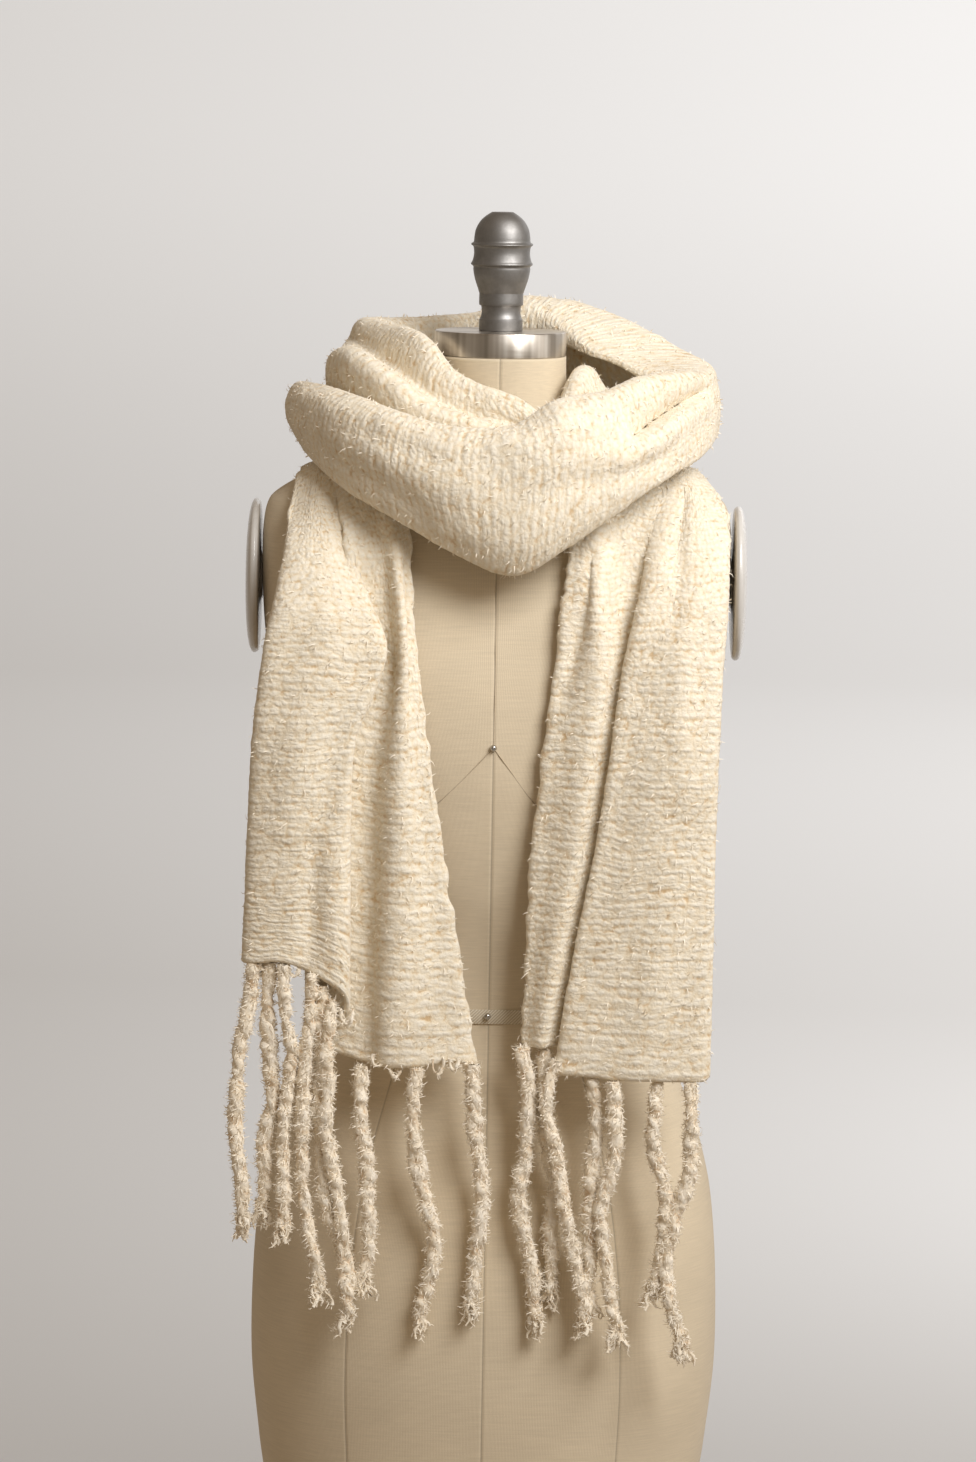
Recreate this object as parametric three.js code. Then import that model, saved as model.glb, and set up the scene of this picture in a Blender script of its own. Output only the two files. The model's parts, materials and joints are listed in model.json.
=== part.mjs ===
// A chunky knitted scarf with a fringe, wound twice round the neck of a limbless dress form.
// Units are mm. +Z is up, the front faces -Y, and +X is to the right of someone looking at the front.
// The origin is the middle of the part's box in X and Y, at the height of the surface it stands on.
import * as THREE from "three";

// ---- driving sizes ----
const GAP = 0.3; // between two pieces that touch
const CLOTH = 6; // thickness of the looped knit
const FRINGE = 10; // depth that the hanging cords take up
const NECK_R = 51; // the neck plate and the top of the neck
const NECK_TOP = 918;
const CAP_H = 19;
const BOARD_H = 18;
const WAIST_Z = 416; // middle of the waist tape
const TAPE_W = 11;
const TAPE_T = 1.2;
const ARM_Z = 744; // middle of the arm plates
const ARM_HIGH = 60; // half their height
const ARM_DEEP = 54; // half their depth
const BOSS_OUT = 2; // the round boss that holds an arm plate off the torso
const ARM_OUT = 13; // from the torso to the top of the dome
const FINIAL_Z = NECK_TOP + CAP_H + GAP;
const STEPS_ROUND = 48; // facets round the torso and the turned pieces

// ---- the torso: one row a level ----
// level, half width, reach to the front, reach to the back, squareness
const TORSO = [
  [0, 168, 112, 108, 2.3],
  [60, 176, 118, 112, 2.3],
  [130, 183, 124, 118, 2.3],
  [210, 182, 124, 122, 2.3],
  [270, 176, 117, 118, 2.3],
  [320, 163, 108, 105, 2.3],
  [370, 143, 98, 92, 2.3],
  [415, 126, 92, 82, 2.3],
  [460, 130, 95, 84, 2.3],
  [520, 141, 108, 90, 2.3],
  [580, 152, 116, 95, 2.4],
  [620, 161, 118, 98, 2.5],
  [660, 171, 115, 101, 2.7],
  [700, 178, 108, 100, 3],
  [744, 181, 96, 95, 3.2],
  [785, 181, 78, 82, 3.2],
  [806, 176, 67, 72, 3],
  [820, 156, 59, 65, 2.8],
  [832, 126, 56, 61, 2.6],
  [844, 98, 54, 58, 2.4],
  [858, 74, 53, 56, 2.2],
  [874, 58, 52, 54, 2],
  [896, NECK_R + 1, NECK_R, NECK_R + 1, 2],
  [NECK_TOP, NECK_R, NECK_R, NECK_R, 2],
];

// ---- the finial, turned: height above the neck plate, radius ----
const FINIAL = [
  [0, 16.8],
  [8, 16.8],
  [9, 16.2],
  [12, 15.2],
  [15.5, 15],
  [19, 15.6],
  [20, 17],
  [28, 17],
  [29, 17.2],
  [34.5, 19],
  [39, 20.5],
  [43.5, 21.5],
  [47, 22],
  [49, 22],
  [50.5, 23.7],
  [51.6, 23.7],
  [53.5, 22.6],
  [58.5, 21.6],
  [62.5, 21.8],
  [64.5, 22.4],
  [65.5, 23.7],
  [66.6, 23.7],
  [68, 21.9],
  [72, 21.5],
  [78, 20.3],
  [84, 16.9],
  [88, 12.6],
  [90.8, 8.2],
];

// ---- the arm plates, turned and then made oval: how far out, share of the half height ----
const ARM_PROFILE = [
  [GAP, 0.3],
  [1.6, 0.34],
  [2.4, 0.9],
  [4, 0.985],
  [6, 1],
  [8.5, 0.97],
  [10.8, 0.84],
  [12.3, 0.6],
  [ARM_OUT, 0.25],
];

// ---- the wound stretches of the scarf: one row a section ----
// turn in degrees from the front (towards +X; each full turn counts on), then radius and level of:
// the lip inside, the crest, the fold under the crest, the belly, the lower edge
const WRAP = {
  left_neck_fold: [
    [28, 90, 844, 97, 862, 101, 850, 104, 836, 104, 820],
    [14, 80, 862, 87, 884, 93, 869, 97, 852, 99, 832],
    [0, 70, 868, 79, 893, 88, 876, 95, 860, 99, 836],
    [-15, 64, 872, 73, 898, 84, 880, 96, 868, 102, 840],
    [-35, 61, 882, 71, 909, 85, 890, 101, 880, 107, 848],
    [-55, 61, 900, 71, 928, 86, 904, 110, 902, 113, 864],
    [-75, 65, 908, 75, 935, 92, 913, 119, 916, 122, 874],
    [-95, 76, 910, 87, 937, 105, 921, 128, 912, 132, 876],
    [-115, 98, 912, 118, 940, 131, 926, 136, 905, 137, 874],
  ],
  back_wrap: [
    [-132, 94, 912, 115, 939, 128, 922, 135, 900, 136, 872],
    [-150, 82, 915, 99, 940, 118, 920, 131, 892, 134, 862],
    [-170, 72, 922, 91, 944, 112, 922, 130, 888, 137, 852],
    [-190, 67, 930, 93, 956, 114, 930, 135, 888, 143, 844],
    [-210, 67, 928, 101, 953, 122, 928, 143, 886, 151, 839],
    [-230, 69, 923, 115, 940, 136, 920, 153, 884, 159, 840],
    [-248, 76, 917, 134, 926, 150, 910, 161, 886, 165, 850],
    [-262, 98, 910, 157, 913, 166, 901, 169, 884, 168, 855],
  ],
  front_swag: [
    [-275, 122, 890, 156, 906, 163, 894, 167, 880, 166, 856],
    [-288, 124, 874, 143, 905, 153, 888, 161, 872, 163, 847],
    [-305, 119, 868, 131, 903, 147, 882, 160, 862, 161, 836],
    [-322, 116, 862, 130, 894, 149, 872, 162, 848, 152, 814],
    [-340, 115, 858, 130, 889, 150, 866, 157, 832, 142, 785],
    [-355, 118, 848, 130, 871, 147, 856, 152, 820, 136, 766],
    [-375, 117, 846, 128, 868, 146, 852, 149, 820, 134, 781],
    [-395, 118, 856, 128, 876, 144, 862, 149, 835, 139, 803],
    [-415, 122, 866, 130, 885, 146, 868, 150, 846, 142, 820],
    [-435, 132, 874, 138, 891, 150, 877, 154, 860, 148, 838],
    [-453, 146, 872, 156, 892, 163, 881, 163, 868, 156, 851],
  ],
  back_under: [
    [-468, 148, 868, 157, 884, 164, 872, 164, 857, 157, 840],
    [-486, 146, 856, 152, 870, 159, 856, 158, 838, 151, 816],
    [-506, 138, 836, 144, 850, 151, 836, 151, 816, 144, 792],
    [-526, 116, 822, 126, 834, 137, 822, 141, 800, 134, 776],
    [-546, 98, 818, 109, 832, 122, 818, 129, 796, 122, 772],
    [-566, 86, 828, 98, 842, 111, 826, 120, 802, 116, 779],
    [-586, 84, 848, 93, 863, 105, 848, 115, 824, 117, 802],
    [-606, 72, 868, 81, 884, 94, 874, 107, 864, 115, 850],
  ],
  right_neck_fold: [
    [-624, 63, 876, 72, 896, 86, 886, 102, 872, 110, 857],
    [-642, 60, 884, 68, 906, 83, 892, 99, 874, 108, 858],
    [-660, 61, 882, 70, 902, 85, 886, 100, 868, 108, 850],
    [-676, 69, 868, 79, 889, 92, 875, 102, 858, 109, 839],
    [-686, 78, 856, 86, 874, 97, 861, 104, 846, 110, 831],
  ],
};
const TUCK_IN = 15; // how far the lower edge turns in
const TUCK_UP = 20; // and up

// ---- the tails: one row a section, from the shoulder down to the hem ----
// depth of the top layer, level of the outer panel, level of the inner strip, then across:
// outer edge, edge of the fold on top, ridge of the strip below, inner edge; how deep the valley
// beside the fold is, in layers; share of the pleat made
const LEFT_TAIL = [
  [22, 827, 844, -149, -128, -118, -110, 1.6, 0],
  [-14, 826.8, 846.8, -152, -124, -112, -102, 1.6, 0],
  [-42, 820, 845, -156, -120, -105, -90, 1.6, 0],
  [-65, 800, 822, -161, -116, -96, -82, 1.6, 0.08],
  [-94, 776, 792, -166, -96, -80, -67, 1.6, 0.3],
  [-123, 740, 742, -170, -82, -70, -63, 1.6, 0.65],
  [-135, 698, 688, -173, -84, -68, -58, 1.6, 1],
  [-141, 634, 612, -180, -106, -71, -46, 1.7, 1],
  [-141, 578, 546, -182, -109, -72, -36, 1.7, 1],
  [-140, 522, 475, -184, -109, -73, -24, 1.6, 1],
  [-139, 463, 384, -186, -108, -72, -8, 1.5, 1],
];
const RIGHT_TAIL = [
  [22, 829, 846, 150, 128, 118, 110, 1.2, 0],
  [-14, 829, 848, 156, 126, 114, 102, 1.2, 0],
  [-42, 822, 846, 163, 124, 106, 88, 1.2, 0],
  [-64, 812, 822, 174, 122, 96, 74, 1.2, 0.08],
  [-94, 790, 790, 183, 98, 76, 56, 1.2, 0.3],
  [-123, 744, 744, 179, 101, 78, 50, 1.2, 0.65],
  [-135, 690, 690, 170, 98, 78, 44, 1.2, 1],
  [-142, 620, 620, 168, 89, 70, 36, 1.2, 1],
  [-141, 550, 550, 167, 79, 62, 30, 1.2, 1],
  [-140, 480, 480, 167, 66, 50, 27, 1.2, 1],
  [-139, 378, 401, 167, 53, 40, 26, 1.2, 1],
];
// level of the lower edge at: the outer edge, the fold on top, the inner edge
const LEFT_HEM = [463, 424, 384];
const RIGHT_HEM = [378, 384, 401];
const LAYER = 9.5; // depth from one layer of a pleat to the next
const TURN_IN = 24; // how far a pleat goes back under its fold
const FOLD_AT = 6; // the point of a section on the edge of the top fold

// ---- the fringe: across, level of the top, level of the tips, depth behind the top layer ----
const LEFT_FRINGE = [
  [-187, 461.5, 262, 2],
  [-148, 461.5, 244, -3],
  [-118, 440, 224, -3],
  [-108, 408, 206, -1],
  [-99, 380, 198, 8],
  [-60, 380, 188, 8],
  [-14, 381, 196, 9],
];
const RIGHT_FRINGE = [
  [165, 377.5, 172, 2],
  [130, 377.5, 180, -2],
  [90, 377.5, 178, -2],
  [64, 379, 186, 0],
  [48, 384, 188, 6],
  [28, 398, 188, 8],
];
const FRINGE_Y = -140; // depth of the top layer at the hems

// ---- curves and closed shapes ----
const mix = (a, b, t) => a + (b - a) * t;

// A smooth curve through the points, cut into the same number of steps between each two of them.
function smooth(points, steps) {
  const last = points.length - 1;
  const out = [];
  for (let i = 0; i < last; i++) {
    const [a, b] = [points[Math.max(i - 1, 0)], points[i]];
    const [c, d] = [points[i + 1], points[Math.min(i + 2, last)]];
    for (let k = 0; k < steps; k++) {
      const t = k / steps;
      out.push(b.map((_, n) => hermite(a[n], b[n], c[n], d[n], t)));
    }
  }
  out.push(points[last]);
  return out;
}

// One value of the curve that passes b and c, with a before them and d after.
function hermite(a, b, c, d, t) {
  const bend = 2 * a - 5 * b + 4 * c - d;
  const twist = 3 * (b - c) + d - a;
  return b + 0.5 * t * (c - a + t * (bend + t * twist));
}

// Rows of points, one row a section, smoothed across each row and then from row to row.
function surface(rows, along, across) {
  const wide = rows.map((row) => smooth(row, across));
  const columns = wide[0].map((_, j) => smooth(wide.map((row) => row[j]), along));
  return columns[0].map((_, i) => columns.map((column) => column[i]));
}

// The direction that faces away from the sheet at each point of a grid.
function normals(grid) {
  const at = (i, j) => new THREE.Vector3(...grid[i][j]);
  const [lastRow, lastColumn] = [grid.length - 1, grid[0].length - 1];
  return grid.map((row, i) => row.map((_, j) => {
    const down = at(Math.min(i + 1, lastRow), j).sub(at(Math.max(i - 1, 0), j));
    const over = at(i, Math.min(j + 1, lastColumn)).sub(at(i, Math.max(j - 1, 0)));
    return down.cross(over).normalize();
  }));
}

// A closed sheet on a grid, half of its thickness on each side.
function shell(grid, faces, thickness) {
  const [rows, columns] = [grid.length, grid[0].length];
  const points = [];
  for (const side of [0.5, -0.5])
    grid.forEach((row, i) => row.forEach((p, j) => {
      points.push(faces[i][j].clone().multiplyScalar(side * thickness).add(new THREE.Vector3(...p)));
    }));
  const id = (side, i, j) => (side * rows + i) * columns + j;
  const quads = [];
  for (let i = 0; i + 1 < rows; i++)
    for (let j = 0; j + 1 < columns; j++) {
      quads.push([id(0, i, j), id(0, i + 1, j), id(0, i + 1, j + 1), id(0, i, j + 1)]);
      quads.push([id(1, i, j), id(1, i, j + 1), id(1, i + 1, j + 1), id(1, i + 1, j)]);
    }
  for (let i = 0; i + 1 < rows; i++) {
    quads.push([id(0, i, 0), id(1, i, 0), id(1, i + 1, 0), id(0, i + 1, 0)]);
    const j = columns - 1;
    quads.push([id(0, i, j), id(0, i + 1, j), id(1, i + 1, j), id(1, i, j)]);
  }
  for (let j = 0; j + 1 < columns; j++) {
    quads.push([id(0, 0, j), id(0, 0, j + 1), id(1, 0, j + 1), id(1, 0, j)]);
    const i = rows - 1;
    quads.push([id(0, i, j), id(1, i, j), id(1, i, j + 1), id(0, i, j + 1)]);
  }
  return closed(points, quads);
}

// A geometry of triangles from points and four-sided faces, turned to face out.
function closed(points, quads) {
  const order = volume(points, quads) < 0 ? [2, 1, 0, 3, 2, 0] : [0, 1, 2, 0, 2, 3];
  const geometry = new THREE.BufferGeometry();
  const corners = quads.flatMap((quad) => order.map((n) => points[quad[n]]));
  geometry.setFromPoints(corners);
  geometry.computeVertexNormals();
  return geometry;
}

function volume(points, quads) {
  let sum = 0;
  for (const [a, b, c, d] of quads) {
    const [p, q, r, s] = [points[a], points[b], points[c], points[d]];
    sum += p.dot(q.clone().cross(r)) + p.dot(r.clone().cross(s));
  }
  return sum / 6;
}

// ---- the wound scarf ----
// The middle line of one section, from the tip of its lip to the tip of its tucked lower edge.
function wrapSection([turn, lipR, lipZ, crestR, crestZ, foldR, foldZ, bellyR, bellyZ, hemR, hemZ]) {
  const angle = THREE.MathUtils.degToRad(turn);
  const up = Math.min(TUCK_UP, 0.35 * (foldZ - hemZ));
  const line = [
    [lipR, lipZ],
    [mix(lipR, crestR, 0.1) - 1, mix(lipZ, crestZ, 0.8)],
    [crestR, crestZ],
    [foldR, foldZ],
    [bellyR, bellyZ],
    [hemR, hemZ + 3],
    [hemR - 0.5 * TUCK_IN, hemZ + 1],
    [hemR - TUCK_IN, hemZ + up],
  ];
  return line.map(([r, z]) => [r * Math.sin(angle), -r * Math.cos(angle), z]);
}

// Both turns are one surface, cut where the named stretches meet.
function wrapSheets(along, across) {
  const names = Object.keys(WRAP);
  const grid = surface(names.flatMap((name) => WRAP[name].map(wrapSection)), along, across);
  const faces = normals(grid);
  const sheets = {};
  let start = 0;
  names.forEach((name, n) => {
    const last = n + 1 === names.length;
    const end = last ? grid.length - 1 : start + (WRAP[name].length - (n ? 0 : 0.5)) * along;
    sheets["scarf_" + name] = cut(grid, faces, Math.round(start), Math.round(end), n > 0, !last);
    start = end;
  });
  return sheets;
}

// The rows from start to end, drawn back by a gap at each end that meets the next stretch.
function cut(grid, faces, start, end, trimStart, trimEnd) {
  const part = grid.slice(start, end + 1);
  const out = faces.slice(start, end + 1);
  if (trimStart) part[0] = drawnBack(part[0], part[1]);
  if (trimEnd) part[part.length - 1] = drawnBack(part.at(-1), part.at(-2));
  return shell(part, out, CLOTH);
}

function drawnBack(row, next) {
  return row.map((p, j) => {
    const [from, to] = [new THREE.Vector3(...p), new THREE.Vector3(...next[j])];
    return from.lerp(to, GAP / from.distanceTo(to)).toArray();
  });
}

// ---- the tails ----
// A section of a tail: [across, depth behind the top layer] from the tucked outer edge to the inner edge.
function pleat(outer, fold, ridge, inner, valley) {
  const side = Math.sign(fold - outer);
  return [
    [outer + 24 * side, 13],
    [outer + 8 * side, 12],
    [outer, 5],
    [outer + 9 * side, -1],
    [mix(outer, fold, 0.5), -4],
    [fold - 5.5 * side, -1],
    [fold, 4],
    [fold - 5.5 * side, LAYER],
    [fold - TURN_IN * side, LAYER],
    [fold - (TURN_IN + 5.5) * side, 1.5 * LAYER],
    [fold - TURN_IN * side, 2 * LAYER],
    [fold - 4 * side, 2 * LAYER],
    [mix(fold, ridge, 0.45), valley * LAYER],
    [ridge, 4],
    [mix(ridge, inner, 0.6), 1.3 * LAYER],
    [inner, 1.7 * LAYER],
  ];
}

// The same points spread flat across the shoulder, for the part of a tail with no pleat yet.
function spread(outer, inner, count) {
  return Array.from({ length: count }, (_, n) => {
    const t = n / (count - 1);
    return [mix(outer, inner, t), 2 * Math.sin(5 * Math.PI * t)];
  });
}

function tailSection([depth, outerZ, innerZ, outer, fold, ridge, inner, valley, made]) {
  const folded = pleat(outer, fold, ridge, inner, valley);
  const flat = spread(outer, inner, folded.length);
  const deep = Math.min(1, 1.8 * made);
  return folded.map(([x, y], n) => {
    const across = mix(flat[n][0], x, made);
    const share = THREE.MathUtils.clamp((across - outer) / (inner - outer), 0, 1);
    const level = mix(mix(outerZ, innerZ, share), stepped(n, outerZ, innerZ), made);
    return [across, depth + mix(flat[n][1], y, deep), level];
  });
}

// The level of a point of a pleat, which changes inside the fold, where it isn't seen.
const stepped = (n, outerZ, innerZ) => mix(outerZ, innerZ, THREE.MathUtils.clamp((n - FOLD_AT) / 6, 0, 1));

// The last section, at the lower edge, which also drops from the outer edge to the fold.
function hemSection(row, [outerZ, foldZ, innerZ]) {
  return tailSection(row).map(([x, y], n) => {
    const top = mix(outerZ, foldZ, Math.max(0, n - 4) / (FOLD_AT - 4));
    return [x, y, n < FOLD_AT ? top : stepped(n, foldZ, innerZ)];
  });
}

function tail(rows, hem) {
  const sections = rows.slice(0, -1).map(tailSection);
  sections.push(hemSection(rows.at(-1), hem));
  const grid = surface(sections, 1, 2);
  return shell(grid, normals(grid), CLOTH);
}

// A plain slab for the reach of the cords that hang from a hem.
function fringe(table) {
  const top = smooth(table.map(([x, z, , y]) => [x, FRINGE_Y + y, z]), 2);
  const tips = smooth(table.map(([x, , z, y]) => [x, FRINGE_Y + y, z]), 2);
  const middle = top.map((p, n) => p.map((v, k) => mix(v, tips[n][k], 0.5)));
  const grid = [top, middle, tips];
  const faces = normals(grid);
  return shell(grid, faces, FRINGE);
}

// ---- the form ----
// A body from closed rings of points, one above another, with a flat cap at each end.
function rings(loops) {
  const count = loops[0].length;
  const points = loops.flat();
  const quads = [];
  for (let i = 0; i + 1 < loops.length; i++)
    for (let j = 0; j < count; j++) {
      const k = (j + 1) % count;
      quads.push([i * count + j, i * count + k, (i + 1) * count + k, (i + 1) * count + j]);
    }
  const last = (loops.length - 1) * count;
  for (let j = 1; j + 1 < count; j++) {
    quads.push([0, j + 1, j, 0]);
    quads.push([last, last + j, last + j + 1, last]);
  }
  return closed(points, quads);
}

// One level of the torso: an oval, squarer where the last size says so, grown by the given amount.
function oval([z, wide, front, back, square], grow = 0, count = STEPS_ROUND) {
  return Array.from({ length: count }, (_, n) => {
    const angle = (2 * Math.PI * n) / count;
    const [c, s] = [Math.cos(angle), Math.sin(angle)];
    const x = (wide + grow) * Math.sign(c) * Math.abs(c) ** (2 / square);
    const deep = (s < 0 ? front : back) + grow;
    const y = deep * Math.sign(s) * Math.abs(s) ** (2 / square);
    return new THREE.Vector3(x, y, z);
  });
}

function torsoLevel(z) {
  const above = TORSO.findIndex((row) => row[0] >= z);
  const [low, high] = [TORSO[above - 1], TORSO[above]];
  const t = (z - low[0]) / (high[0] - low[0]);
  return low.map((v, n) => mix(v, high[n], t));
}

function torso() {
  const levels = [torsoLevel(BOARD_H + GAP), ...TORSO.slice(1)];
  return rings(levels.map((row) => oval(row)));
}

function waistTape() {
  const [low, high] = [torsoLevel(WAIST_Z - TAPE_W / 2), torsoLevel(WAIST_Z + TAPE_W / 2)];
  const middle = torsoLevel(WAIST_Z);
  const inner = [low, middle, high].map((row) => oval(row, GAP));
  const outer = [high, middle, low].map((row) => oval(row, GAP + TAPE_T));
  return loop([...inner, ...outer]);
}

// A closed band whose section is the given rings in order.
function loop(loops) {
  const count = loops[0].length;
  const quads = [];
  loops.forEach((_, i) => {
    const m = (i + 1) % loops.length;
    for (let j = 0; j < count; j++) {
      const k = (j + 1) % count;
      quads.push([i * count + j, i * count + k, m * count + k, m * count + j]);
    }
  });
  return closed(loops.flat(), quads);
}

function board() {
  const [, wide, front, back, square] = TORSO[0];
  const levels = [[0, -4], [3, -1], [BOARD_H - 3, -1], [BOARD_H, -4]];
  return rings(levels.map(([z, grow]) => oval([z, wide, front, back, square], grow)));
}

// A turned piece: rows of height and radius, on the form's own axis.
function turned(profile, base, count) {
  return rings(profile.map(([z, r]) => oval([base + z, r, r, r, 2], 0, count)));
}

function armPlate(side) {
  const at = torsoLevel(ARM_Z)[1];
  return rings(ARM_PROFILE.map(([out, share]) => {
    const high = share * (out < BOSS_OUT ? ARM_DEEP : ARM_HIGH);
    return Array.from({ length: STEPS_ROUND / 2 }, (_, n) => {
      const angle = (4 * Math.PI * n) / STEPS_ROUND;
      const deep = share * ARM_DEEP * Math.cos(angle);
      return new THREE.Vector3(side * (at + out), deep, ARM_Z + high * Math.sin(angle));
    });
  }));
}

// ---- the part ----
const KNIT = { color: 0xe9dfc8, roughness: 0.95, metalness: 0 };
const YARN = { color: 0xe3d2ba, roughness: 0.95, metalness: 0 };
const LINEN = { color: 0xd3bd97, roughness: 0.9, metalness: 0 };
const STEEL = { color: 0xc4c2c0, roughness: 0.35, metalness: 1 };
const PEWTER = { color: 0x7d7f80, roughness: 0.5, metalness: 1 };
const PLATE = { color: 0xb4b6b8, roughness: 0.2, metalness: 0 };
const WOOD = { color: 0xa98c62, roughness: 0.6, metalness: 0 };

function pieces() {
  const capProfile = [[GAP, NECK_R - 0.6], [0.9, NECK_R], [CAP_H - 0.8, NECK_R], [CAP_H, NECK_R - 0.8]];
  const wound = Object.entries(wrapSheets(2, 2)).map(([name, shape]) => [name, shape, KNIT]);
  return [
    ...wound,
    ["scarf_left_tail", tail(LEFT_TAIL, LEFT_HEM), KNIT],
    ["scarf_right_tail", tail(RIGHT_TAIL, RIGHT_HEM), KNIT],
    ["scarf_left_fringe", fringe(LEFT_FRINGE), YARN],
    ["scarf_right_fringe", fringe(RIGHT_FRINGE), YARN],
    ["form_torso", torso(), LINEN],
    ["form_neck_cap", turned(capProfile, NECK_TOP, STEPS_ROUND), STEEL],
    ["form_finial", turned(FINIAL, FINIAL_Z, STEPS_ROUND - 16), PEWTER],
    ["form_left_arm_plate", armPlate(-1), PLATE],
    ["form_right_arm_plate", armPlate(1), PLATE],
    ["form_waist_tape", waistTape(), LINEN],
    ["form_base_board", board(), WOOD],
  ];
}

// The group is moved so that the box of the whole part is centred on the origin in X and Y.
function build() {
  const group = new THREE.Group();
  group.name = "scarf_on_dress_form";
  for (const [name, shape, look] of pieces()) {
    const mesh = new THREE.Mesh(shape, new THREE.MeshStandardMaterial(look));
    mesh.name = name;
    group.add(mesh);
  }
  const box = new THREE.Box3().setFromObject(group);
  const middle = box.getCenter(new THREE.Vector3());
  group.position.set(-middle.x, -middle.y, -box.min.z);
  return group;
}

export default build();
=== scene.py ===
# %% [markdown]
# # A looped-knit scarf wound round a dress form
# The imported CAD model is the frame: it fixes every size and place. Most of what is made below is a
# finer and softer version of one of its solids, in metres, in the same place. The pins, the
# strings and the loose fibres are made only here.

# %% Load the frame
import json
import math

import bmesh
import bpy
import numpy as np
from mathutils import Matrix, Quaternion, Vector

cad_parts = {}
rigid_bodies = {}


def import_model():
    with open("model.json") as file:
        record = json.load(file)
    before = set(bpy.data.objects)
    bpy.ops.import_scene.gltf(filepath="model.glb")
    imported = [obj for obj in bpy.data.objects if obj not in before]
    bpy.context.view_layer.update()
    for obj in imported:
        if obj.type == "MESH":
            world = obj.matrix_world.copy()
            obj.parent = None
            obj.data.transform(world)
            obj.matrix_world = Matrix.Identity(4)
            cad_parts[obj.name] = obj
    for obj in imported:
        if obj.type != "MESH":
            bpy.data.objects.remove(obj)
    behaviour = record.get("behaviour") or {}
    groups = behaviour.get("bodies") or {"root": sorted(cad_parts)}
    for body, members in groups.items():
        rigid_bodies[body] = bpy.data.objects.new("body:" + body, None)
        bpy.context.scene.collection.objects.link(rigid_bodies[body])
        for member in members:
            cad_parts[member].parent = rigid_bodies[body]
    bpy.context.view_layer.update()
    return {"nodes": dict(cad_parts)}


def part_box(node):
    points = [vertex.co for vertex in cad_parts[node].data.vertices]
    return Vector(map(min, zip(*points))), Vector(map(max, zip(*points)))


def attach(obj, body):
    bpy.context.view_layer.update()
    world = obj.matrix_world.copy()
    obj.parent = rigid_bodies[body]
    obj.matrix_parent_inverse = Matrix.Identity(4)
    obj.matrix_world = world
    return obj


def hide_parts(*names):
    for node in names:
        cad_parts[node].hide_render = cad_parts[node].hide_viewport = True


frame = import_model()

low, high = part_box("form_neck_cap")
AXIS = np.array([(low[0] + high[0]) / 2, (low[1] + high[1]) / 2, 0.0])
print("frame of", len(frame["nodes"]), "nodes, form axis at", AXIS.round(4))

# %% [markdown]
# ## Camera
# The form is seen from straight in front and a little above, from four metres away with a long
# lens, so there is hardly any perspective. The camera is rolled one degree, which is why the form
# leans a little.

# %% Camera
AIM = Vector((AXIS[0] - 0.0044, AXIS[1], 0.625))
DOWN = math.radians(7.6)
ROLL = math.radians(1.0)
FAR = 4.0
SEEN_HEIGHT = 1.1404  # at that distance

view = bpy.data.cameras.new("view")
view.sensor_width = 36
view.lens = view.sensor_width * FAR / SEEN_HEIGHT
camera = bpy.data.objects.new("view", view)
bpy.context.scene.collection.objects.link(camera)
camera.rotation_mode = "QUATERNION"
back = Vector((0, -math.cos(DOWN), math.sin(DOWN)))
camera.location = AIM + FAR * back
level = (-back).to_track_quat("-Z", "Y")
camera.rotation_quaternion = level @ Quaternion((0, 0, 1), ROLL)
bpy.context.scene.camera = camera
print("lens", round(view.lens, 1), "mm")

# %% [markdown]
# ## Helpers
# A hanging cloth is easiest to describe by a few sections across it. Each section is a handful of
# points, and a smooth curve through the points, and then through the sections, gives the surface.

# %% Smooth curves
def spline(points, at):
    """Points of the smooth curve through the rows of points, at the given row numbers."""
    points = np.asarray(points, float)
    at = np.clip(np.asarray(at, float), 0, len(points) - 1)
    i = np.clip(np.floor(at).astype(int), 0, len(points) - 2)
    t = (at - i).reshape((-1,) + (1,) * (points.ndim - 1))
    a, b = points[np.maximum(i - 1, 0)], points[i]
    c, d = points[i + 1], points[np.minimum(i + 2, len(points) - 1)]
    return b + 0.5 * t * (c - a + t * (2 * a - 5 * b + 4 * c - d + t * (3 * (b - c) + d - a)))


def evenly(points, spacing):
    """Row numbers that cut the curve through the points into steps of about the given length."""
    fine = np.linspace(0, len(points) - 1, 40 * len(points))
    line = spline(points, fine)
    step = np.linalg.norm(np.diff(line, axis=0), axis=-1)
    if step.ndim > 1:
        step = step.mean(axis=1)
    run = np.concatenate([[0], np.cumsum(step)])
    count = max(2, int(round(run[-1] / spacing)) + 1)
    lengths = np.linspace(0, run[-1], count)
    return np.interp(lengths, run, fine), lengths


def unit(vectors):
    """The vectors brought to a length of one."""
    return vectors / np.maximum(np.linalg.norm(vectors, axis=-1, keepdims=True), 1e-12)


def field(x, y, seed):
    """Soft random values from 0 to 1 over a plane, one hill or hollow about every unit."""
    size = 64
    lattice = np.random.default_rng(seed).random((size, size))
    i, j = np.floor(x).astype(int), np.floor(y).astype(int)
    s, t = x - i, y - j
    s, t = s * s * (3 - 2 * s), t * t * (3 - 2 * t)
    i, j, after_i, after_j = i % size, j % size, (i + 1) % size, (j + 1) % size
    a, b = lattice[i, j], lattice[after_i, j]
    c, d = lattice[i, after_j], lattice[after_i, after_j]
    return (a * (1 - s) + b * s) * (1 - t) + (c * (1 - s) + d * s) * t


# %% Objects
def add(name, mesh):
    """A new object for a mesh, shaded smooth."""
    piece = bpy.data.objects.new(name, mesh)
    bpy.context.scene.collection.objects.link(piece)
    mesh.polygons.foreach_set("use_smooth", [True] * len(mesh.polygons))
    return piece


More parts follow.
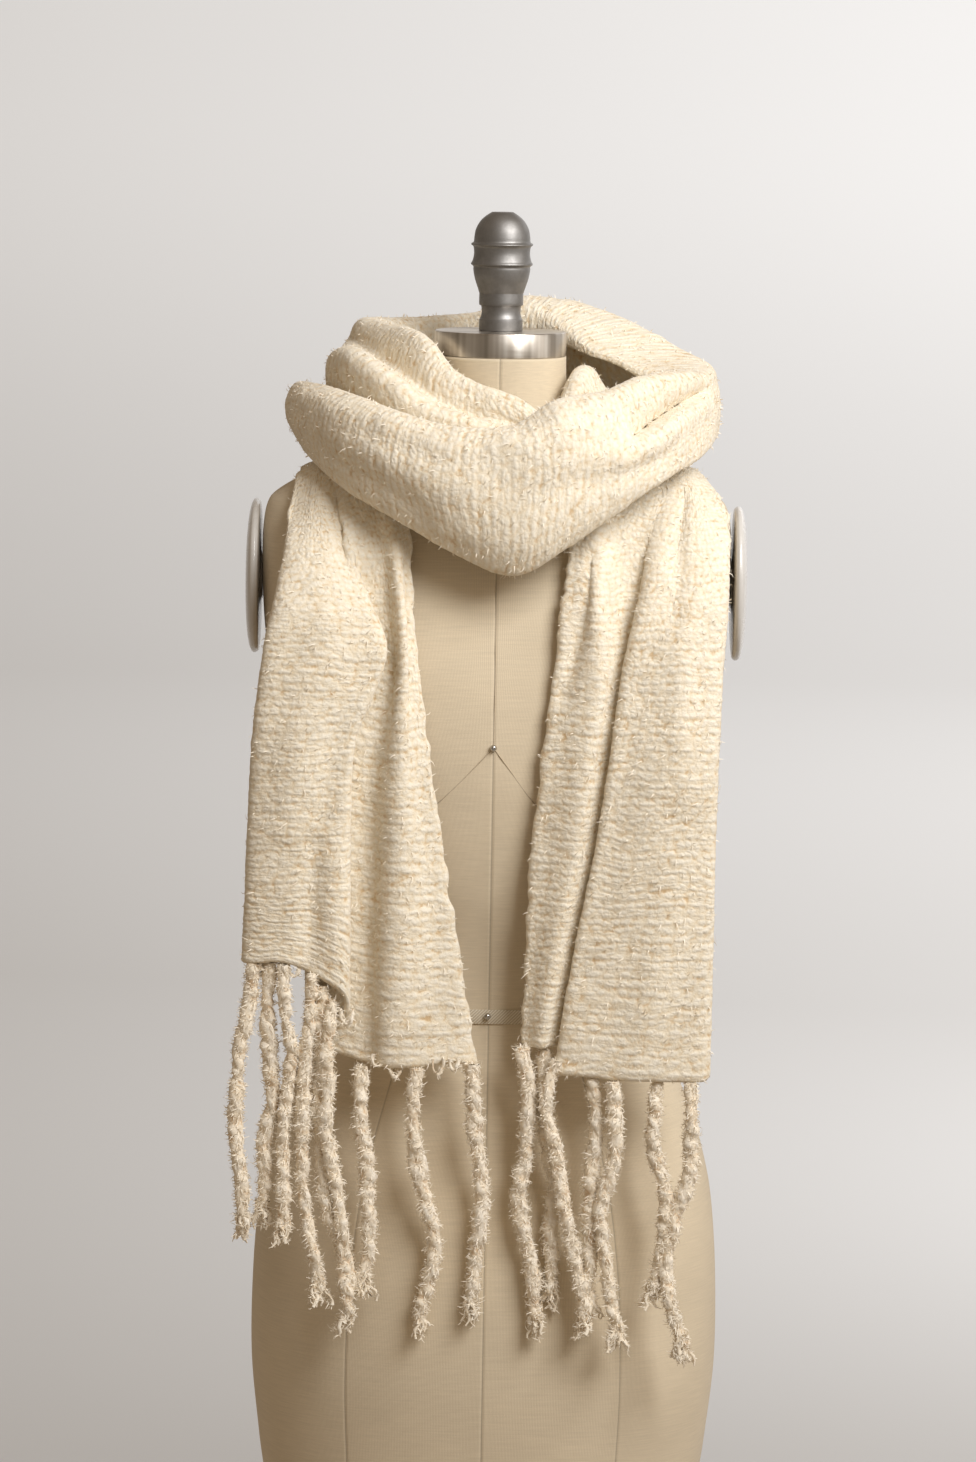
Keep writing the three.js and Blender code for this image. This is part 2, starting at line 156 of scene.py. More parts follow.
def from_bmesh(name, bm):
    """A new object from a bmesh, which is freed."""
    mesh = bpy.data.meshes.new(name)
    bm.to_mesh(mesh)
    bm.free()
    return add(name, mesh)


def evaluated(piece):
    """A new mesh of the piece as its curve and its modifiers make it."""
    bpy.context.view_layer.update()
    seen = piece.evaluated_get(bpy.context.evaluated_depsgraph_get())
    return bpy.data.meshes.new_from_object(seen)


def settled(piece):
    """The piece with its modifiers made part of its mesh."""
    mesh = evaluated(piece)
    piece.modifiers.clear()
    piece.data = mesh
    return piece


def read(items, label, width=3):
    """One property of all the vertices, normals or faces of a mesh, a row for each."""
    values = np.empty(len(items) * width)
    items.foreach_get(label, values)
    return values.reshape(-1, width)


def keep(mesh, label, values, kind="FLOAT"):
    """Keeps a value for each point of a mesh, under a name that a material can read."""
    field_name = "value" if kind == "FLOAT" else "vector"
    mesh.attributes.new(label, kind, "POINT").data.foreach_set(field_name, np.ravel(values))


def spun(profile, centre, steps):
    """A bmesh of a profile, radius and level in metres, spun right round an upright axis."""
    bm = bmesh.new()
    points = [bm.verts.new((centre[0] + r, centre[1], z)) for r, z in profile]
    edges = [bm.edges.new(pair) for pair in zip(points, points[1:])]
    bmesh.ops.spin(bm, geom=points + edges, cent=centre, axis=(0, 0, 1), angle=2 * math.pi,
                   steps=steps, use_merge=True)
    bmesh.ops.remove_doubles(bm, verts=bm.verts, dist=1e-6)
    return bm


def grid_mesh(name, points, u, v):
    """A grid mesh moved onto the points, with u and v in metres as its UV map."""
    rows, columns = points.shape[:2]
    bm = bmesh.new()
    bm.loops.layers.uv.new("UVMap")
    bmesh.ops.create_grid(bm, x_segments=columns - 1, y_segments=rows - 1, size=1, calc_uvs=True)
    mesh = bpy.data.meshes.new(name)
    bm.to_mesh(mesh)
    bm.free()
    flat = read(mesh.vertices, "co")
    column = np.rint((flat[:, 0] + 1) / 2 * (columns - 1)).astype(int)
    row = np.rint((flat[:, 1] + 1) / 2 * (rows - 1)).astype(int)
    mesh.vertices.foreach_set("co", points[row, column].ravel())
    corner = np.empty(len(mesh.loops), int)
    mesh.loops.foreach_get("vertex_index", corner)
    uv = np.stack([u[row[corner]], v[column[corner]]], axis=1)
    mesh.uv_layers[0].data.foreach_set("uv", uv.ravel())
    mesh.update()
    return mesh, row, column


# %% [markdown]
# ## The looped knit
# The cloth is knitted in rows across the scarf, from a yarn with uneven loops. Close up each row
# is a chain of soft bumps, and the gaps between rows are dark. The bumps are big enough to change
# the outline of the cloth, so they are real relief in the mesh. The finest loops are left to the
# material.

# %% Relief of the knit
ROW = 0.0066  # from one knitted row to the next
LOOP = 0.0042  # from one loop to the next in a row
CLOTH = 0.0060  # thickness of the cloth
RELIEF = 0.0012  # from the gaps to the tops of the loops
ROUNDED = 0.6 * CLOTH  # how far in from an edge the cloth starts to thin
SIDE_WAVE, HEM_WAVE = 0.0030, 0.0040  # how wavy the free edges are
OTHER_FACE = 20  # added to a seed, so that the two faces of the cloth differ
ALONG = ROW / 4  # between the points of the cloth meshes
ACROSS = 0.0019


def knit(u, v, seed):
    """Height of the cloth from 0 to 1 along and across it, and the row and loop of each place."""
    row = (u / ROW + 0.7 * field(u / 0.05, v / 0.02, seed)
           + 0.4 * field(u / 0.02, v / 0.009, seed + 1))
    loop = v / LOOP + 0.9 * field(u / 0.03, v / 0.03, seed + 6)
    ridge = np.abs(np.sin(np.pi * row)) ** 0.8
    curl = field(u / 0.0040 + 11, v / 0.0042, seed + 3)
    snarl = field(u / 0.0070 + 5, v / 0.0062, seed + 5)
    slub = field(u / 0.018, v / 0.018, seed + 4)
    height = 0.22 * ridge + 0.42 * curl + 0.36 * snarl + 0.2 * (slub - 0.5)
    return np.clip(height, 0, 1.2), row, loop


def laid(sections, folds=()):
    """The middle surface of the cloth through its sections, with its folds raised on it."""
    sections = np.asarray(sections, float)
    along, u = evenly(sections, ALONG)
    across, v = evenly(np.swapaxes(sections, 0, 1), ACROSS)
    grid = spline(np.swapaxes(spline(np.swapaxes(sections, 0, 1), across), 0, 1), along)
    U, V = np.meshgrid(u, v, indexing="ij")
    places = [(np.interp(r0, along, u), np.interp(p0, across, v), np.interp(r1, along, u),
               np.interp(p1, across, v), high / 1000, wide / 1000)
              for r0, p0, r1, p1, high, wide in folds]
    grid = grid + facing_of(grid) * stand_out(U, V, places)[..., None]
    return grid, facing_of(grid), u, v, along


def frayed(grid, u, v, seed):
    """The surface with its side edges and its last edge slightly wavy, as knitted edges are."""
    down, over = unit(np.gradient(grid, axis=0)), unit(np.gradient(grid, axis=1))
    U, V = np.meshgrid(u, v, indexing="ij")
    aside = field(U / 0.014, V / 0.2, seed) + 0.6 * field(U / 0.0066, V / 0.2, seed + 1) - 0.8
    drop = field(U / 0.2, V / 0.016, seed + 2) + 0.6 * field(U / 0.2, V / 0.006, seed + 3) - 0.8
    side = np.exp(-(V - v[0]) / 0.010) - np.exp(-(v[-1] - V) / 0.010)
    last = np.exp(-(u[-1] - U) / 0.012)
    grid = grid - SIDE_WAVE * (side * aside)[..., None] * over
    return grid + HEM_WAVE * (last * drop)[..., None] * down


def facing_of(grid):
    """The direction that each place of the surface faces."""
    return unit(np.cross(np.gradient(grid, axis=0), np.gradient(grid, axis=1)))


def stand_out(u, v, folds):
    """How far the cloth stands out at each place: the sum of its troughs and ridges."""
    out = np.zeros_like(u)
    for u0, v0, u1, v1, height, width in folds:
        run = np.array([u1 - u0, v1 - v0])
        length = np.linalg.norm(run)
        t = ((u - u0) * run[0] + (v - v0) * run[1]) / length**2
        aside = ((u - u0) * run[1] - (v - v0) * run[0]) / length
        beyond = np.maximum(np.maximum(-t, t - 1), 0) * length
        ease = 1 - 0.35 * np.cos(np.pi * np.clip(t, 0, 1)) ** 2
        out += height * ease * np.exp(-(aside**2 + (0.7 * beyond) ** 2) / width**2)
    return out


def mean_run(grid, axis):
    """The mean length of the lines of the surface that run along one axis, in metres."""
    return float(np.linalg.norm(np.diff(grid, axis=axis), axis=-1).sum(axis=axis).mean())


def crisp_joins(mesh, row, end_rows):
    """Keeps the shading from turning the corner at an end that meets the next stretch."""
    rows, count = np.concatenate([row, row]), len(row)
    edges = np.empty(len(mesh.edges) * 2, np.int32)
    mesh.edges.foreach_get("vertices", edges)
    a, b = edges.reshape(-1, 2).T
    join = np.isin(rows[a], end_rows) & (rows[a] == rows[b]) & ((a < count) == (b < count))
    mesh.attributes.new("sharp_edge", "BOOLEAN", "EDGE").data.foreach_set("value", join)


def cloth(name, grid, facing, u, v, seed, ends):
    """A sheet of knit on a middle surface: its thickness, its rounded edges and its loops."""
    mesh, row, column = grid_mesh(name, grid, u, v)
    piece = add(name, mesh)
    wall = piece.modifiers.new("thickness", "SOLIDIFY")
    wall.thickness = CLOTH - RELIEF
    wall.offset = 0
    settled(piece)
    mesh = piece.data
    count = len(row)
    flat = read(mesh.vertices, "co")
    middle, out = grid[row, column], facing[row, column]
    side = np.sign(np.sum((flat[:count] - middle) * out, axis=1))
    along, across = u[row], v[column]
    edge = np.minimum(across - v[0], v[-1] - across)
    edge = np.minimum(edge, along - u[0]) if ends[0] else edge
    edge = np.minimum(edge, u[-1] - along) if ends[1] else edge
    swell = np.sqrt(np.maximum(1 - np.clip(1 - edge / ROUNDED, 0, 1) ** 2, 0.02))
    loft, stitch = np.zeros(len(flat)), np.zeros((len(flat), 3))
    for part, sign in ((slice(0, count), side), (slice(count, 2 * count), -side)):
        height, rows, loops = knit(along, across, seed + (OTHER_FACE if sign[0] > 0 else 0))
        half = (CLOTH - RELIEF) / 2 + RELIEF * (height - 0.5)
        flat[part] = middle + out * (sign * half * swell)[:, None]
        loft[part] = height
        stitch[part, 0], stitch[part, 1] = rows, loops
    mesh.vertices.foreach_set("co", flat.ravel())
    # the height of the loops, by which the material paints shade into the gaps
    keep(mesh, "loft", loft)
    keep(mesh, "stitch", stitch, "FLOAT_VECTOR")
    crisp_joins(mesh, row, [end for end, free in zip((0, len(u) - 1), ends) if not free])
    mesh.update()
    wide, long = mean_run(grid, 1), mean_run(grid, 0)
    print(name, "is", round(wide, 3), "m wide,", round(long, 3), "m long,",
          len(mesh.polygons), "faces")
    return piece, (wide, long)


# %% [markdown]
# ## The wound scarf
# The scarf goes nearly twice round the neck in one spiral. Each row of the tables is one section
# through it: how far round it is, then the radius and level of its lip, crest, fold, belly and
# lower edge. The same rows shape the solids of the frame, and here they are followed much more
# finely.

# %% Sections of the two turns
# turn in degrees; lip, crest, fold, belly and lower edge as radius, level in mm
WRAP = {
    "left_neck_fold": [
        [28, 90, 844, 97, 862, 101, 850, 104, 836, 104, 820],
        [14, 80, 862, 87, 884, 93, 869, 97, 852, 99, 832],
        [0, 70, 868, 79, 893, 88, 876, 95, 860, 99, 836],
        [-15, 64, 872, 73, 898, 84, 880, 96, 868, 102, 840],
        [-35, 61, 882, 71, 909, 85, 890, 101, 880, 107, 848],
        [-55, 61, 900, 71, 928, 86, 904, 110, 902, 113, 864],
        [-75, 65, 908, 75, 935, 92, 913, 119, 916, 122, 874],
        [-95, 76, 910, 87, 937, 105, 921, 128, 912, 132, 876],
        [-115, 98, 912, 118, 940, 131, 926, 136, 905, 137, 874],
    ],
    "back_wrap": [
        [-132, 94, 912, 115, 939, 128, 922, 135, 900, 136, 872],
        [-150, 82, 915, 99, 940, 118, 920, 131, 892, 134, 862],
        [-170, 72, 922, 91, 944, 112, 922, 130, 888, 137, 852],
        [-190, 67, 930, 93, 956, 114, 930, 135, 888, 143, 844],
        [-210, 67, 928, 101, 953, 122, 928, 143, 886, 151, 839],
        [-230, 69, 923, 115, 940, 136, 920, 153, 884, 159, 840],
        [-248, 76, 917, 134, 926, 150, 910, 161, 886, 165, 850],
        [-262, 98, 910, 157, 913, 166, 901, 169, 884, 168, 855],
    ],
    "front_swag": [
        [-275, 122, 890, 156, 906, 163, 894, 167, 880, 166, 856],
        [-288, 124, 874, 143, 905, 153, 888, 161, 872, 163, 847],
        [-305, 119, 868, 131, 903, 147, 882, 160, 862, 161, 836],
        [-322, 116, 862, 130, 894, 149, 872, 162, 848, 152, 814],
        [-340, 115, 858, 130, 889, 150, 866, 157, 832, 142, 785],
        [-355, 118, 848, 130, 871, 147, 856, 152, 820, 136, 766],
        [-375, 117, 846, 128, 868, 146, 852, 149, 820, 134, 781],
        [-395, 118, 856, 128, 876, 144, 862, 149, 835, 139, 803],
        [-415, 122, 866, 130, 885, 146, 868, 150, 846, 142, 820],
        [-435, 132, 874, 138, 891, 150, 877, 154, 860, 148, 838],
        [-453, 146, 872, 156, 892, 163, 881, 163, 868, 156, 851],
    ],
    "back_under": [
        [-468, 148, 868, 157, 884, 164, 872, 164, 857, 157, 840],
        [-486, 146, 856, 152, 870, 159, 856, 158, 838, 151, 816],
        [-506, 138, 836, 144, 850, 151, 836, 151, 816, 144, 792],
        [-526, 116, 822, 126, 834, 137, 822, 141, 800, 134, 776],
        [-546, 98, 818, 109, 832, 122, 818, 129, 796, 122, 772],
        [-566, 86, 828, 98, 842, 111, 826, 120, 802, 116, 779],
        [-586, 84, 848, 93, 863, 105, 848, 115, 824, 117, 802],
        [-606, 72, 868, 81, 884, 94, 874, 107, 864, 115, 850],
    ],
    "right_neck_fold": [
        [-624, 63, 876, 72, 896, 86, 886, 102, 872, 110, 857],
        [-642, 60, 884, 68, 906, 83, 892, 99, 874, 108, 858],
        [-660, 61, 882, 70, 902, 85, 886, 100, 868, 108, 850],
        [-676, 69, 868, 79, 889, 92, 875, 102, 858, 109, 839],
        [-686, 78, 856, 86, 874, 97, 861, 104, 846, 110, 831],
    ],
}
TUCK_IN, TUCK_UP = 15, 20  # how far the lower edge turns in and up


def mix(a, b, t):
    """The value that is the share t of the way from a to b."""
    return a + (b - a) * t


def wrap_section(row):
    """The middle line of one section, from the lip to the tucked lower edge, in metres."""
    turn, lip_r, lip_z, crest_r, crest_z, fold_r, fold_z, belly_r, belly_z, hem_r, hem_z = row
    up = min(TUCK_UP, 0.35 * (fold_z - hem_z))
    line = [(lip_r, lip_z), (mix(lip_r, crest_r, 0.1) - 1, mix(lip_z, crest_z, 0.8)),
            (crest_r, crest_z), (fold_r, fold_z), (belly_r, belly_z), (hem_r, hem_z + 3),
            (hem_r - 0.5 * TUCK_IN, hem_z + 1), (hem_r - TUCK_IN, hem_z + up)]
    a = math.radians(turn)
    return [[AXIS[0] + r * math.sin(a) / 1000, AXIS[1] - r * math.cos(a) / 1000, z / 1000]
            for r, z in line]


whole = np.array([wrap_section(row) for part in WRAP.values() for row in part])
turns = np.array([row[0] for part in WRAP.values() for row in part], float)
print("two turns of", len(whole), "sections")

# %% The two turns as one surface, then cut into stretches
# turn and place across (0 the lip, 2 the crest, 7 the tucked edge) at each end; height, width in mm
WRAP_FOLDS = [
    [-112, 2.9, 8, 3.1, -6, 7], [-98, 4.1, -45, 3.9, 5, 11], [-60, 4.8, -10, 4.6, -4, 8],
    [-30, 3.9, 20, 3.8, 3, 8], [-150, 2.6, -215, 2.8, 4, 11], [-165, 3.3, -235, 3.6, -6, 9],
    [-195, 4.4, -258, 4.0, -5, 11], [-135, 4.2, -180, 4.9, 4, 10], [-215, 2.0, -245, 2.0, 5, 9],
    [-283, 2.8, -317, 3.25, -13, 5], [-284, 2.2, -340, 2.5, 6, 9], [-286, 3.5, -324, 3.9, 5, 8],
    [-325, 2.9, -356, 2.8, 4, 9], [-312, 4.3, -360, 3.8, -5, 10], [-325, 4.8, -375, 4.6, 4, 12],
    [-360, 3.3, -402, 3.0, -3, 9], [-385, 4.4, -425, 4.0, -4, 10], [-398, 2.6, -440, 2.6, 4, 10],
    [-500, 3.5, -560, 3.2, -5, 10], [-520, 2.5, -590, 2.5, 3, 9], [-515, 4.6, -550, 4.3, 4, 10],
    [-626, 2.0, -662, 2.0, 4, 9], [-630, 3.2, -670, 3.0, -3, 7],
]


def at_turn(turn):
    """The row of the whole table at a turn in degrees, between its own rows."""
    return float(np.interp(-turn, -turns, np.arange(len(turns))))


WRAP_SEED, TAIL_SEED, FRAY_SEED = 40, 60, {"left": 84, "right": 85}
folds = [(at_turn(a), p, at_turn(b), q, high, wide) for a, p, b, q, high, wide in WRAP_FOLDS]
grid, facing, u, v, along = laid(whole, folds)
pieces, flats = {}, {}
first, seen = 0, 0
for number, (name, rows) in enumerate(WRAP.items()):
    seen += len(rows)
    last = int(np.searchsorted(along, seen - 0.5)) if number < len(WRAP) - 1 else len(u) - 1
    part = slice(first, last + 1)
    ends = (number == 0, number == len(WRAP) - 1)
    pieces[name], flats[name] = cloth(
        "knit_" + name, grid[part], facing[part], u[part], v, WRAP_SEED, ends)
    first = last

# %% [markdown]
# ## The tails
# Both ends of the scarf hang down the front. Each is folded lengthways like a letter Z: the outer
# panel lies on top, its inner edge is a fold, and the cloth goes back under it before it shows
# again beside it. Each row of the tables is one section, from the shoulder down. A tail ends on
# the shoulder, hidden from the front by the swag: the cloth that would join it to the wound part
# isn't made.

# %% Sections of the tails
# depth of the top layer, level of the outer panel, level of the inner strip, then across: outer
# edge, fold on top, ridge of the strip below, inner edge; depth of the valley beside the fold in
# layers; share of the pleat made
LEFT_TAIL = [
    [22, 827, 844, -149, -128, -118, -110, 1.6, 0],
    [-14, 826.8, 846.8, -152, -124, -112, -102, 1.6, 0],
    [-42, 820, 845, -156, -120, -105, -90, 1.6, 0],
    [-65, 800, 822, -161, -116, -96, -82, 1.6, 0.08],
    [-94, 776, 792, -166, -96, -80, -67, 1.6, 0.3],
    [-123, 740, 742, -170, -82, -70, -63, 1.6, 0.65],
    [-135, 698, 688, -173, -84, -68, -58, 1.6, 1],
    [-141, 634, 612, -180, -106, -71, -46, 1.7, 1],
    [-141, 578, 546, -182, -109, -72, -36, 1.7, 1],
    [-140, 522, 475, -184, -109, -73, -24, 1.6, 1],
    [-139, 463, 384, -186, -108, -72, -8, 1.5, 1],
]
RIGHT_TAIL = [
    [22, 829, 846, 150, 128, 118, 110, 1.2, 0],
    [-14, 829, 848, 156, 126, 114, 102, 1.2, 0],
    [-42, 822, 846, 163, 124, 106, 88, 1.2, 0],
    [-64, 812, 822, 174, 122, 96, 74, 1.2, 0.08],
    [-94, 790, 790, 183, 98, 76, 56, 1.2, 0.3],
    [-123, 744, 744, 179, 101, 78, 50, 1.2, 0.65],
    [-135, 690, 690, 170, 98, 78, 44, 1.2, 1],
    [-142, 620, 620, 168, 89, 70, 36, 1.2, 1],
    [-141, 550, 550, 167, 79, 62, 30, 1.2, 1],
    [-140, 480, 480, 167, 66, 50, 27, 1.2, 1],
    [-139, 378, 401, 167, 53, 40, 26, 1.2, 1],
]
LEFT_HEM = (463, 424, 384)  # level of the lower edge: outside, at the fold, inside
RIGHT_HEM = (378, 384, 401)
LAYER = 9.5  # depth from one layer of a pleat to the next
TURN_IN = 24  # how far a pleat goes back under its fold
FOLD_AT = 6  # the point of a section on the edge of the top fold


def pleat(outer, fold, ridge, inner, valley):
    """Across and depth of the points of a pleated section, from the outer edge to the inner."""
    side = math.copysign(1, fold - outer)
    return [(outer + 24 * side, 13), (outer + 8 * side, 12), (outer, 5), (outer + 9 * side, -1),
            (mix(outer, fold, 0.5), -4), (fold - 5.5 * side, -1), (fold, 4),
            (fold - 5.5 * side, LAYER), (fold - TURN_IN * side, LAYER),
            (fold - (TURN_IN + 5.5) * side, 1.5 * LAYER), (fold - TURN_IN * side, 2 * LAYER),
            (fold - 4 * side, 2 * LAYER), (mix(fold, ridge, 0.45), valley * LAYER), (ridge, 4),
            (mix(ridge, inner, 0.6), 1.3 * LAYER), (inner, 1.7 * LAYER)]


def tail_section(row, hem=None):
    """One section of a tail; the level changes inside the fold, where it isn't seen."""
    depth, outer_z, inner_z, outer, fold, ridge, inner, valley, made = row
    folded = np.array(pleat(outer, fold, ridge, inner, valley), float)
    n = np.arange(len(folded))
    t = n / n[-1]
    flat = np.stack([mix(outer, inner, t), 2 * np.sin(5 * math.pi * t)], axis=1)
    across = mix(flat[:, 0], folded[:, 0], made)
    deep = mix(flat[:, 1], folded[:, 1], min(1, 1.8 * made))
    slanted = mix(outer_z, inner_z, np.clip((across - outer) / (inner - outer), 0, 1))
    under = np.clip((n - FOLD_AT) / 6, 0, 1)
    level = mix(slanted, mix(outer_z, inner_z, under), made)
    if hem:
        top = mix(hem[0], hem[1], np.maximum(0, n - 4) / (FOLD_AT - 4))
        level = np.where(n < FOLD_AT, top, mix(hem[1], hem[2], under))
    return np.stack([across, depth + deep, level], axis=1) / 1000 + AXIS


# row and place across at each end of a fold; height and width in mm
TAIL_FOLDS = {
    "left": [
        [8.4, 4.4, 10, 4.3, -5, 6], [8.6, 4.8, 10, 4.85, 3, 7], [4.6, 13.9, 6.3, 13.5, -6, 5],
        [5.4, 4.1, 8.2, 3.7, 3, 9], [6.2, 4.9, 8.0, 4.6, -3, 8], [3.4, 7.0, 5.0, 5.0, -5, 10],
        [7.4, 13.4, 9.6, 13.1, 3, 8], [6.0, 12.0, 9.9, 12.1, -5, 6],
    ],
    "right": [
        [4.4, 13.1, 6.3, 14.3, 6, 5], [6.3, 4.7, 9.2, 4.9, 3, 9], [5.2, 3.9, 7.2, 3.6, -3, 9],
        [3.2, 4.6, 5.2, 4.2, 4, 9], [8.0, 3.7, 9.8, 3.9, -3, 8],
    ],
}
PATTERN_START = 2.0  # metres along the knit, so that the tails' loops aren't those of the swag
for name, rows, hem in (("left", LEFT_TAIL, LEFT_HEM), ("right", RIGHT_TAIL, RIGHT_HEM)):
    sections = [tail_section(row) for row in rows[:-1]] + [tail_section(rows[-1], hem)]
    grid, facing, u, v, _ = laid(sections, TAIL_FOLDS[name])
    grid = frayed(grid, u, v, FRAY_SEED[name])
    pieces[name + "_tail"], flats[name + "_tail"] = cloth(
        "knit_" + name + "_tail", grid, facing, u + PATTERN_START, v, TAIL_SEED,
        (True, True))

# %% [markdown]
# ## The fringe
# Under each hem hang thick cords of the same yarn, each of two strands laid loosely round each
# other, with a fluffy tuft at the tip. A few loose loops hang from the left hem. A strand is a
# curve with a round section, made a mesh, whose surface is then roughened like the yarn.

# %% Cords of the fringe
# across and level in mm of four places down each cord, and its depth behind the top layer
LEFT_CORDS = [
    [(-176, 463), (-185, 414), (-191, 337), (-184, 262), 2],
    [(-167, 463), (-165, 376), (-168, 320), (-173, 272), 5],
    [(-158, 463), (-151, 399), (-154, 337), (-152, 260), -1],
    [(-136, 456), (-139, 360), (-141, 299), (-125, 214), -1],
    [(-125, 446), (-129, 360), (-122, 283), (-102, 218), 4],
    [(-117, 436), (-123, 337), (-106, 253), (-105, 191), -2],
    [(-96, 383), (-95, 322), (-87, 245), (-94, 218), 8],
    [(-53, 383), (-54, 322), (-38, 245), (-52, 187), 8],
    [(-14, 386), (-11, 337), (-4, 283), (-10, 199), 9],
]
RIGHT_CORDS = [
    [(28, 400), (32, 322), (26, 283), (43, 187), 8],
    [(43, 398), (48, 322), (52, 270), (48, 210), 14],
    [(51, 392), (46, 352), (65, 260), (81, 191), 1],
    [(78, 378), (82, 330), (80, 270), (78, 205), 4],
    [(97, 377), (96, 322), (87, 268), (103, 181), -1],
    [(131, 377), (128, 322), (137, 283), (130, 215), 2],
    [(154, 377), (155, 322), (140, 237), (152, 173), 0],
]
# across, level and depth of the middle of each loose loop, its width and its drop
HEM_LOOPS = [(-148, 462, 1, 9, 13), (-171, 463, 3, 7, 10), (-108, 424, 4, 9, 12),
             (-84, 388, 9, 8, 9), (-70, 385, 9, 10, 14), (-38, 385, 9, 8, 11),
             (-26, 385, 9, 7, 8)]
LOOP_R = 0.0013  # radius of their yarn
TOP_LAYER = -140
STRAND = 0.0044  # radius of a strand
LAY = 0.040  # length of one turn of the strands
APART = 0.30 * STRAND  # from the middle of a cord to the middle of a strand
TUFT = 16  # thin strands at each tip
FUZZ = 0.0034  # depth of the fuzz on the yarn
FIRST_CORD_SEED, YARN_SEED = 3, 17


def strand_curve(name, lines):
    """One curve object of many round strands, as a mesh. Each line is points and radii."""
    curve = bpy.data.curves.new(name, "CURVE")
    curve.dimensions = "3D"
    curve.bevel_depth = 1.0
    curve.bevel_resolution = 2
    curve.use_fill_caps = True
    for points, radii in lines:
        path = curve.splines.new("POLY")
        path.points.add(len(points) - 1)
        path.points.foreach_set("co", np.c_[points, np.ones(len(points))].ravel())
        path.points.foreach_set("radius", np.asarray(radii))
    helper = bpy.data.objects.new(name, curve)
    bpy.context.scene.collection.objects.link(helper)
    mesh = evaluated(helper)
    bpy.data.objects.remove(helper)
    bpy.data.curves.remove(curve)
    return add(name, mesh)


def cord_lines(cord, seed):
    """The strands of one cord: two laid round each other, and a tuft of thin ones at the tip."""
    *marks, behind = cord
    rng = np.random.default_rng(seed)
    depth = AXIS[1] + (TOP_LAYER + behind) / 1000
    places = [(AXIS[0] + x / 1000, depth, z / 1000) for x, z in marks]
    at, run = evenly(np.array(places), 0.0024)
    middle = spline(places, at)
    middle[:, 0] += 0.005 * (field(run / 0.035, run * 0 + 3 * seed, seed) - 0.5)
    middle[:, 1] += 0.003 * (field(run / 0.03, run * 0 + 5 * seed, seed) - 0.5)
    tip = np.clip((run[-1] - run) / 0.02, 0, 1)
    width = 1 + 0.3 * (field(run / 0.04, run * 0 + 7 * seed, seed) - 0.5)
    turn = run / LAY + 1.0 * field(run / 0.05, run * 0 + 9 * seed, seed)
    lines = []
    for k in range(2):
        phase = 2 * math.pi * (turn + k / 2 + 0.07 * seed)
        points = middle + np.stack([APART * np.cos(phase), 0.7 * APART * np.sin(phase), 0 * run],
                                   axis=1)
        lump = field(run / 0.006 + 9 * k, run * 0 + seed, seed + k) - 0.5
        lines.append((points, STRAND * width * (1 + 0.5 * lump) * (0.6 + 0.4 * tip)))
    for k in range(TUFT):
        angle, spread = rng.uniform(0, 2 * math.pi), rng.uniform(0.05, 0.45)
        length = np.linspace(0, rng.uniform(0.010, 0.026), 7)
        side = np.array([math.cos(angle), math.sin(angle), 0]) * spread
        root = middle[-4] + 0.7 * STRAND * rng.uniform(-1, 1, 3) * (1, 1, 0)
        points = root + length[:, None] * (side + np.array([0, 0, -0.9]))
        points[:, 0] += 0.0016 * np.sin(length * 420 + angle * 3)
        lines.append((points, np.linspace(0.0018, 0.0008, 7)))
    return lines


def hem_loop(place, width, drop):
    """A loose loop of yarn hanging from the hem between two cords."""
    t = np.linspace(0, math.pi, 14)
    points = np.stack([place[0] / 1000 + width / 2000 * np.cos(t), np.sin(t) * -0.002,
                       (place[1] + 5 - drop * np.sin(t) ** 0.8) / 1000], axis=1)
    return points + AXIS + (0, (TOP_LAYER + place[2]) / 1000, 0), np.full(len(t), LOOP_R)


def roughened(piece, seed):
    """The piece with the fuzz of the yarn raised on it, and the height kept for the material."""
    mesh = piece.data
    flat, out = read(mesh.vertices, "co"), read(mesh.vertex_normals, "vector")
    x, y, z = flat.T
    fuzz = (0.45 * field(x / 0.0024 + y / 0.003, z / 0.0026, seed)
            + 0.55 * field(x / 0.0048 - y / 0.005, z / 0.0050, seed + 1))
    mesh.vertices.foreach_set("co", (flat + out * (FUZZ * (fuzz - 0.5))[:, None]).ravel())
    # the height of the fuzz, by which the material paints shade into its hollows
    keep(mesh, "loft", 1.2 * fuzz - 0.1)
    mesh.update()
    return piece


fringes = {}
for name, cords in (("left", LEFT_CORDS), ("right", RIGHT_CORDS)):
    lines = [line for n, cord in enumerate(cords) for line in cord_lines(cord, FIRST_CORD_SEED + n)]
    if name == "left":
        lines += [hem_loop(loop[:3], *loop[3:]) for loop in HEM_LOOPS]
    fringes[name] = roughened(strand_curve(name + "_cords", lines), YARN_SEED)
    print(name, "fringe of", len(cords), "cords,", len(fringes[name].data.polygons), "faces")

# %% [markdown]
# ## Loose fibres
# The yarn is brushed, so short fibres stand off it everywhere and blur its outline. They are too
# fine and too many to place one by one: each is a narrow curled strip with its foot on the yarn,
# and all those of a stretch are one mesh.

# %% Fibres
FIBRE_AREA = 3.6e-5  # of cloth, for each fibre
FIBRE_LENGTH, FIBRE_WIDTH = 0.0058, 0.00075
ON_CLOTH, ON_CORDS = 0.5, 5.0  # how closely they stand on each
CLOTH_FIBRE_SEED, CORD_FIBRE_SEED = 70, 90


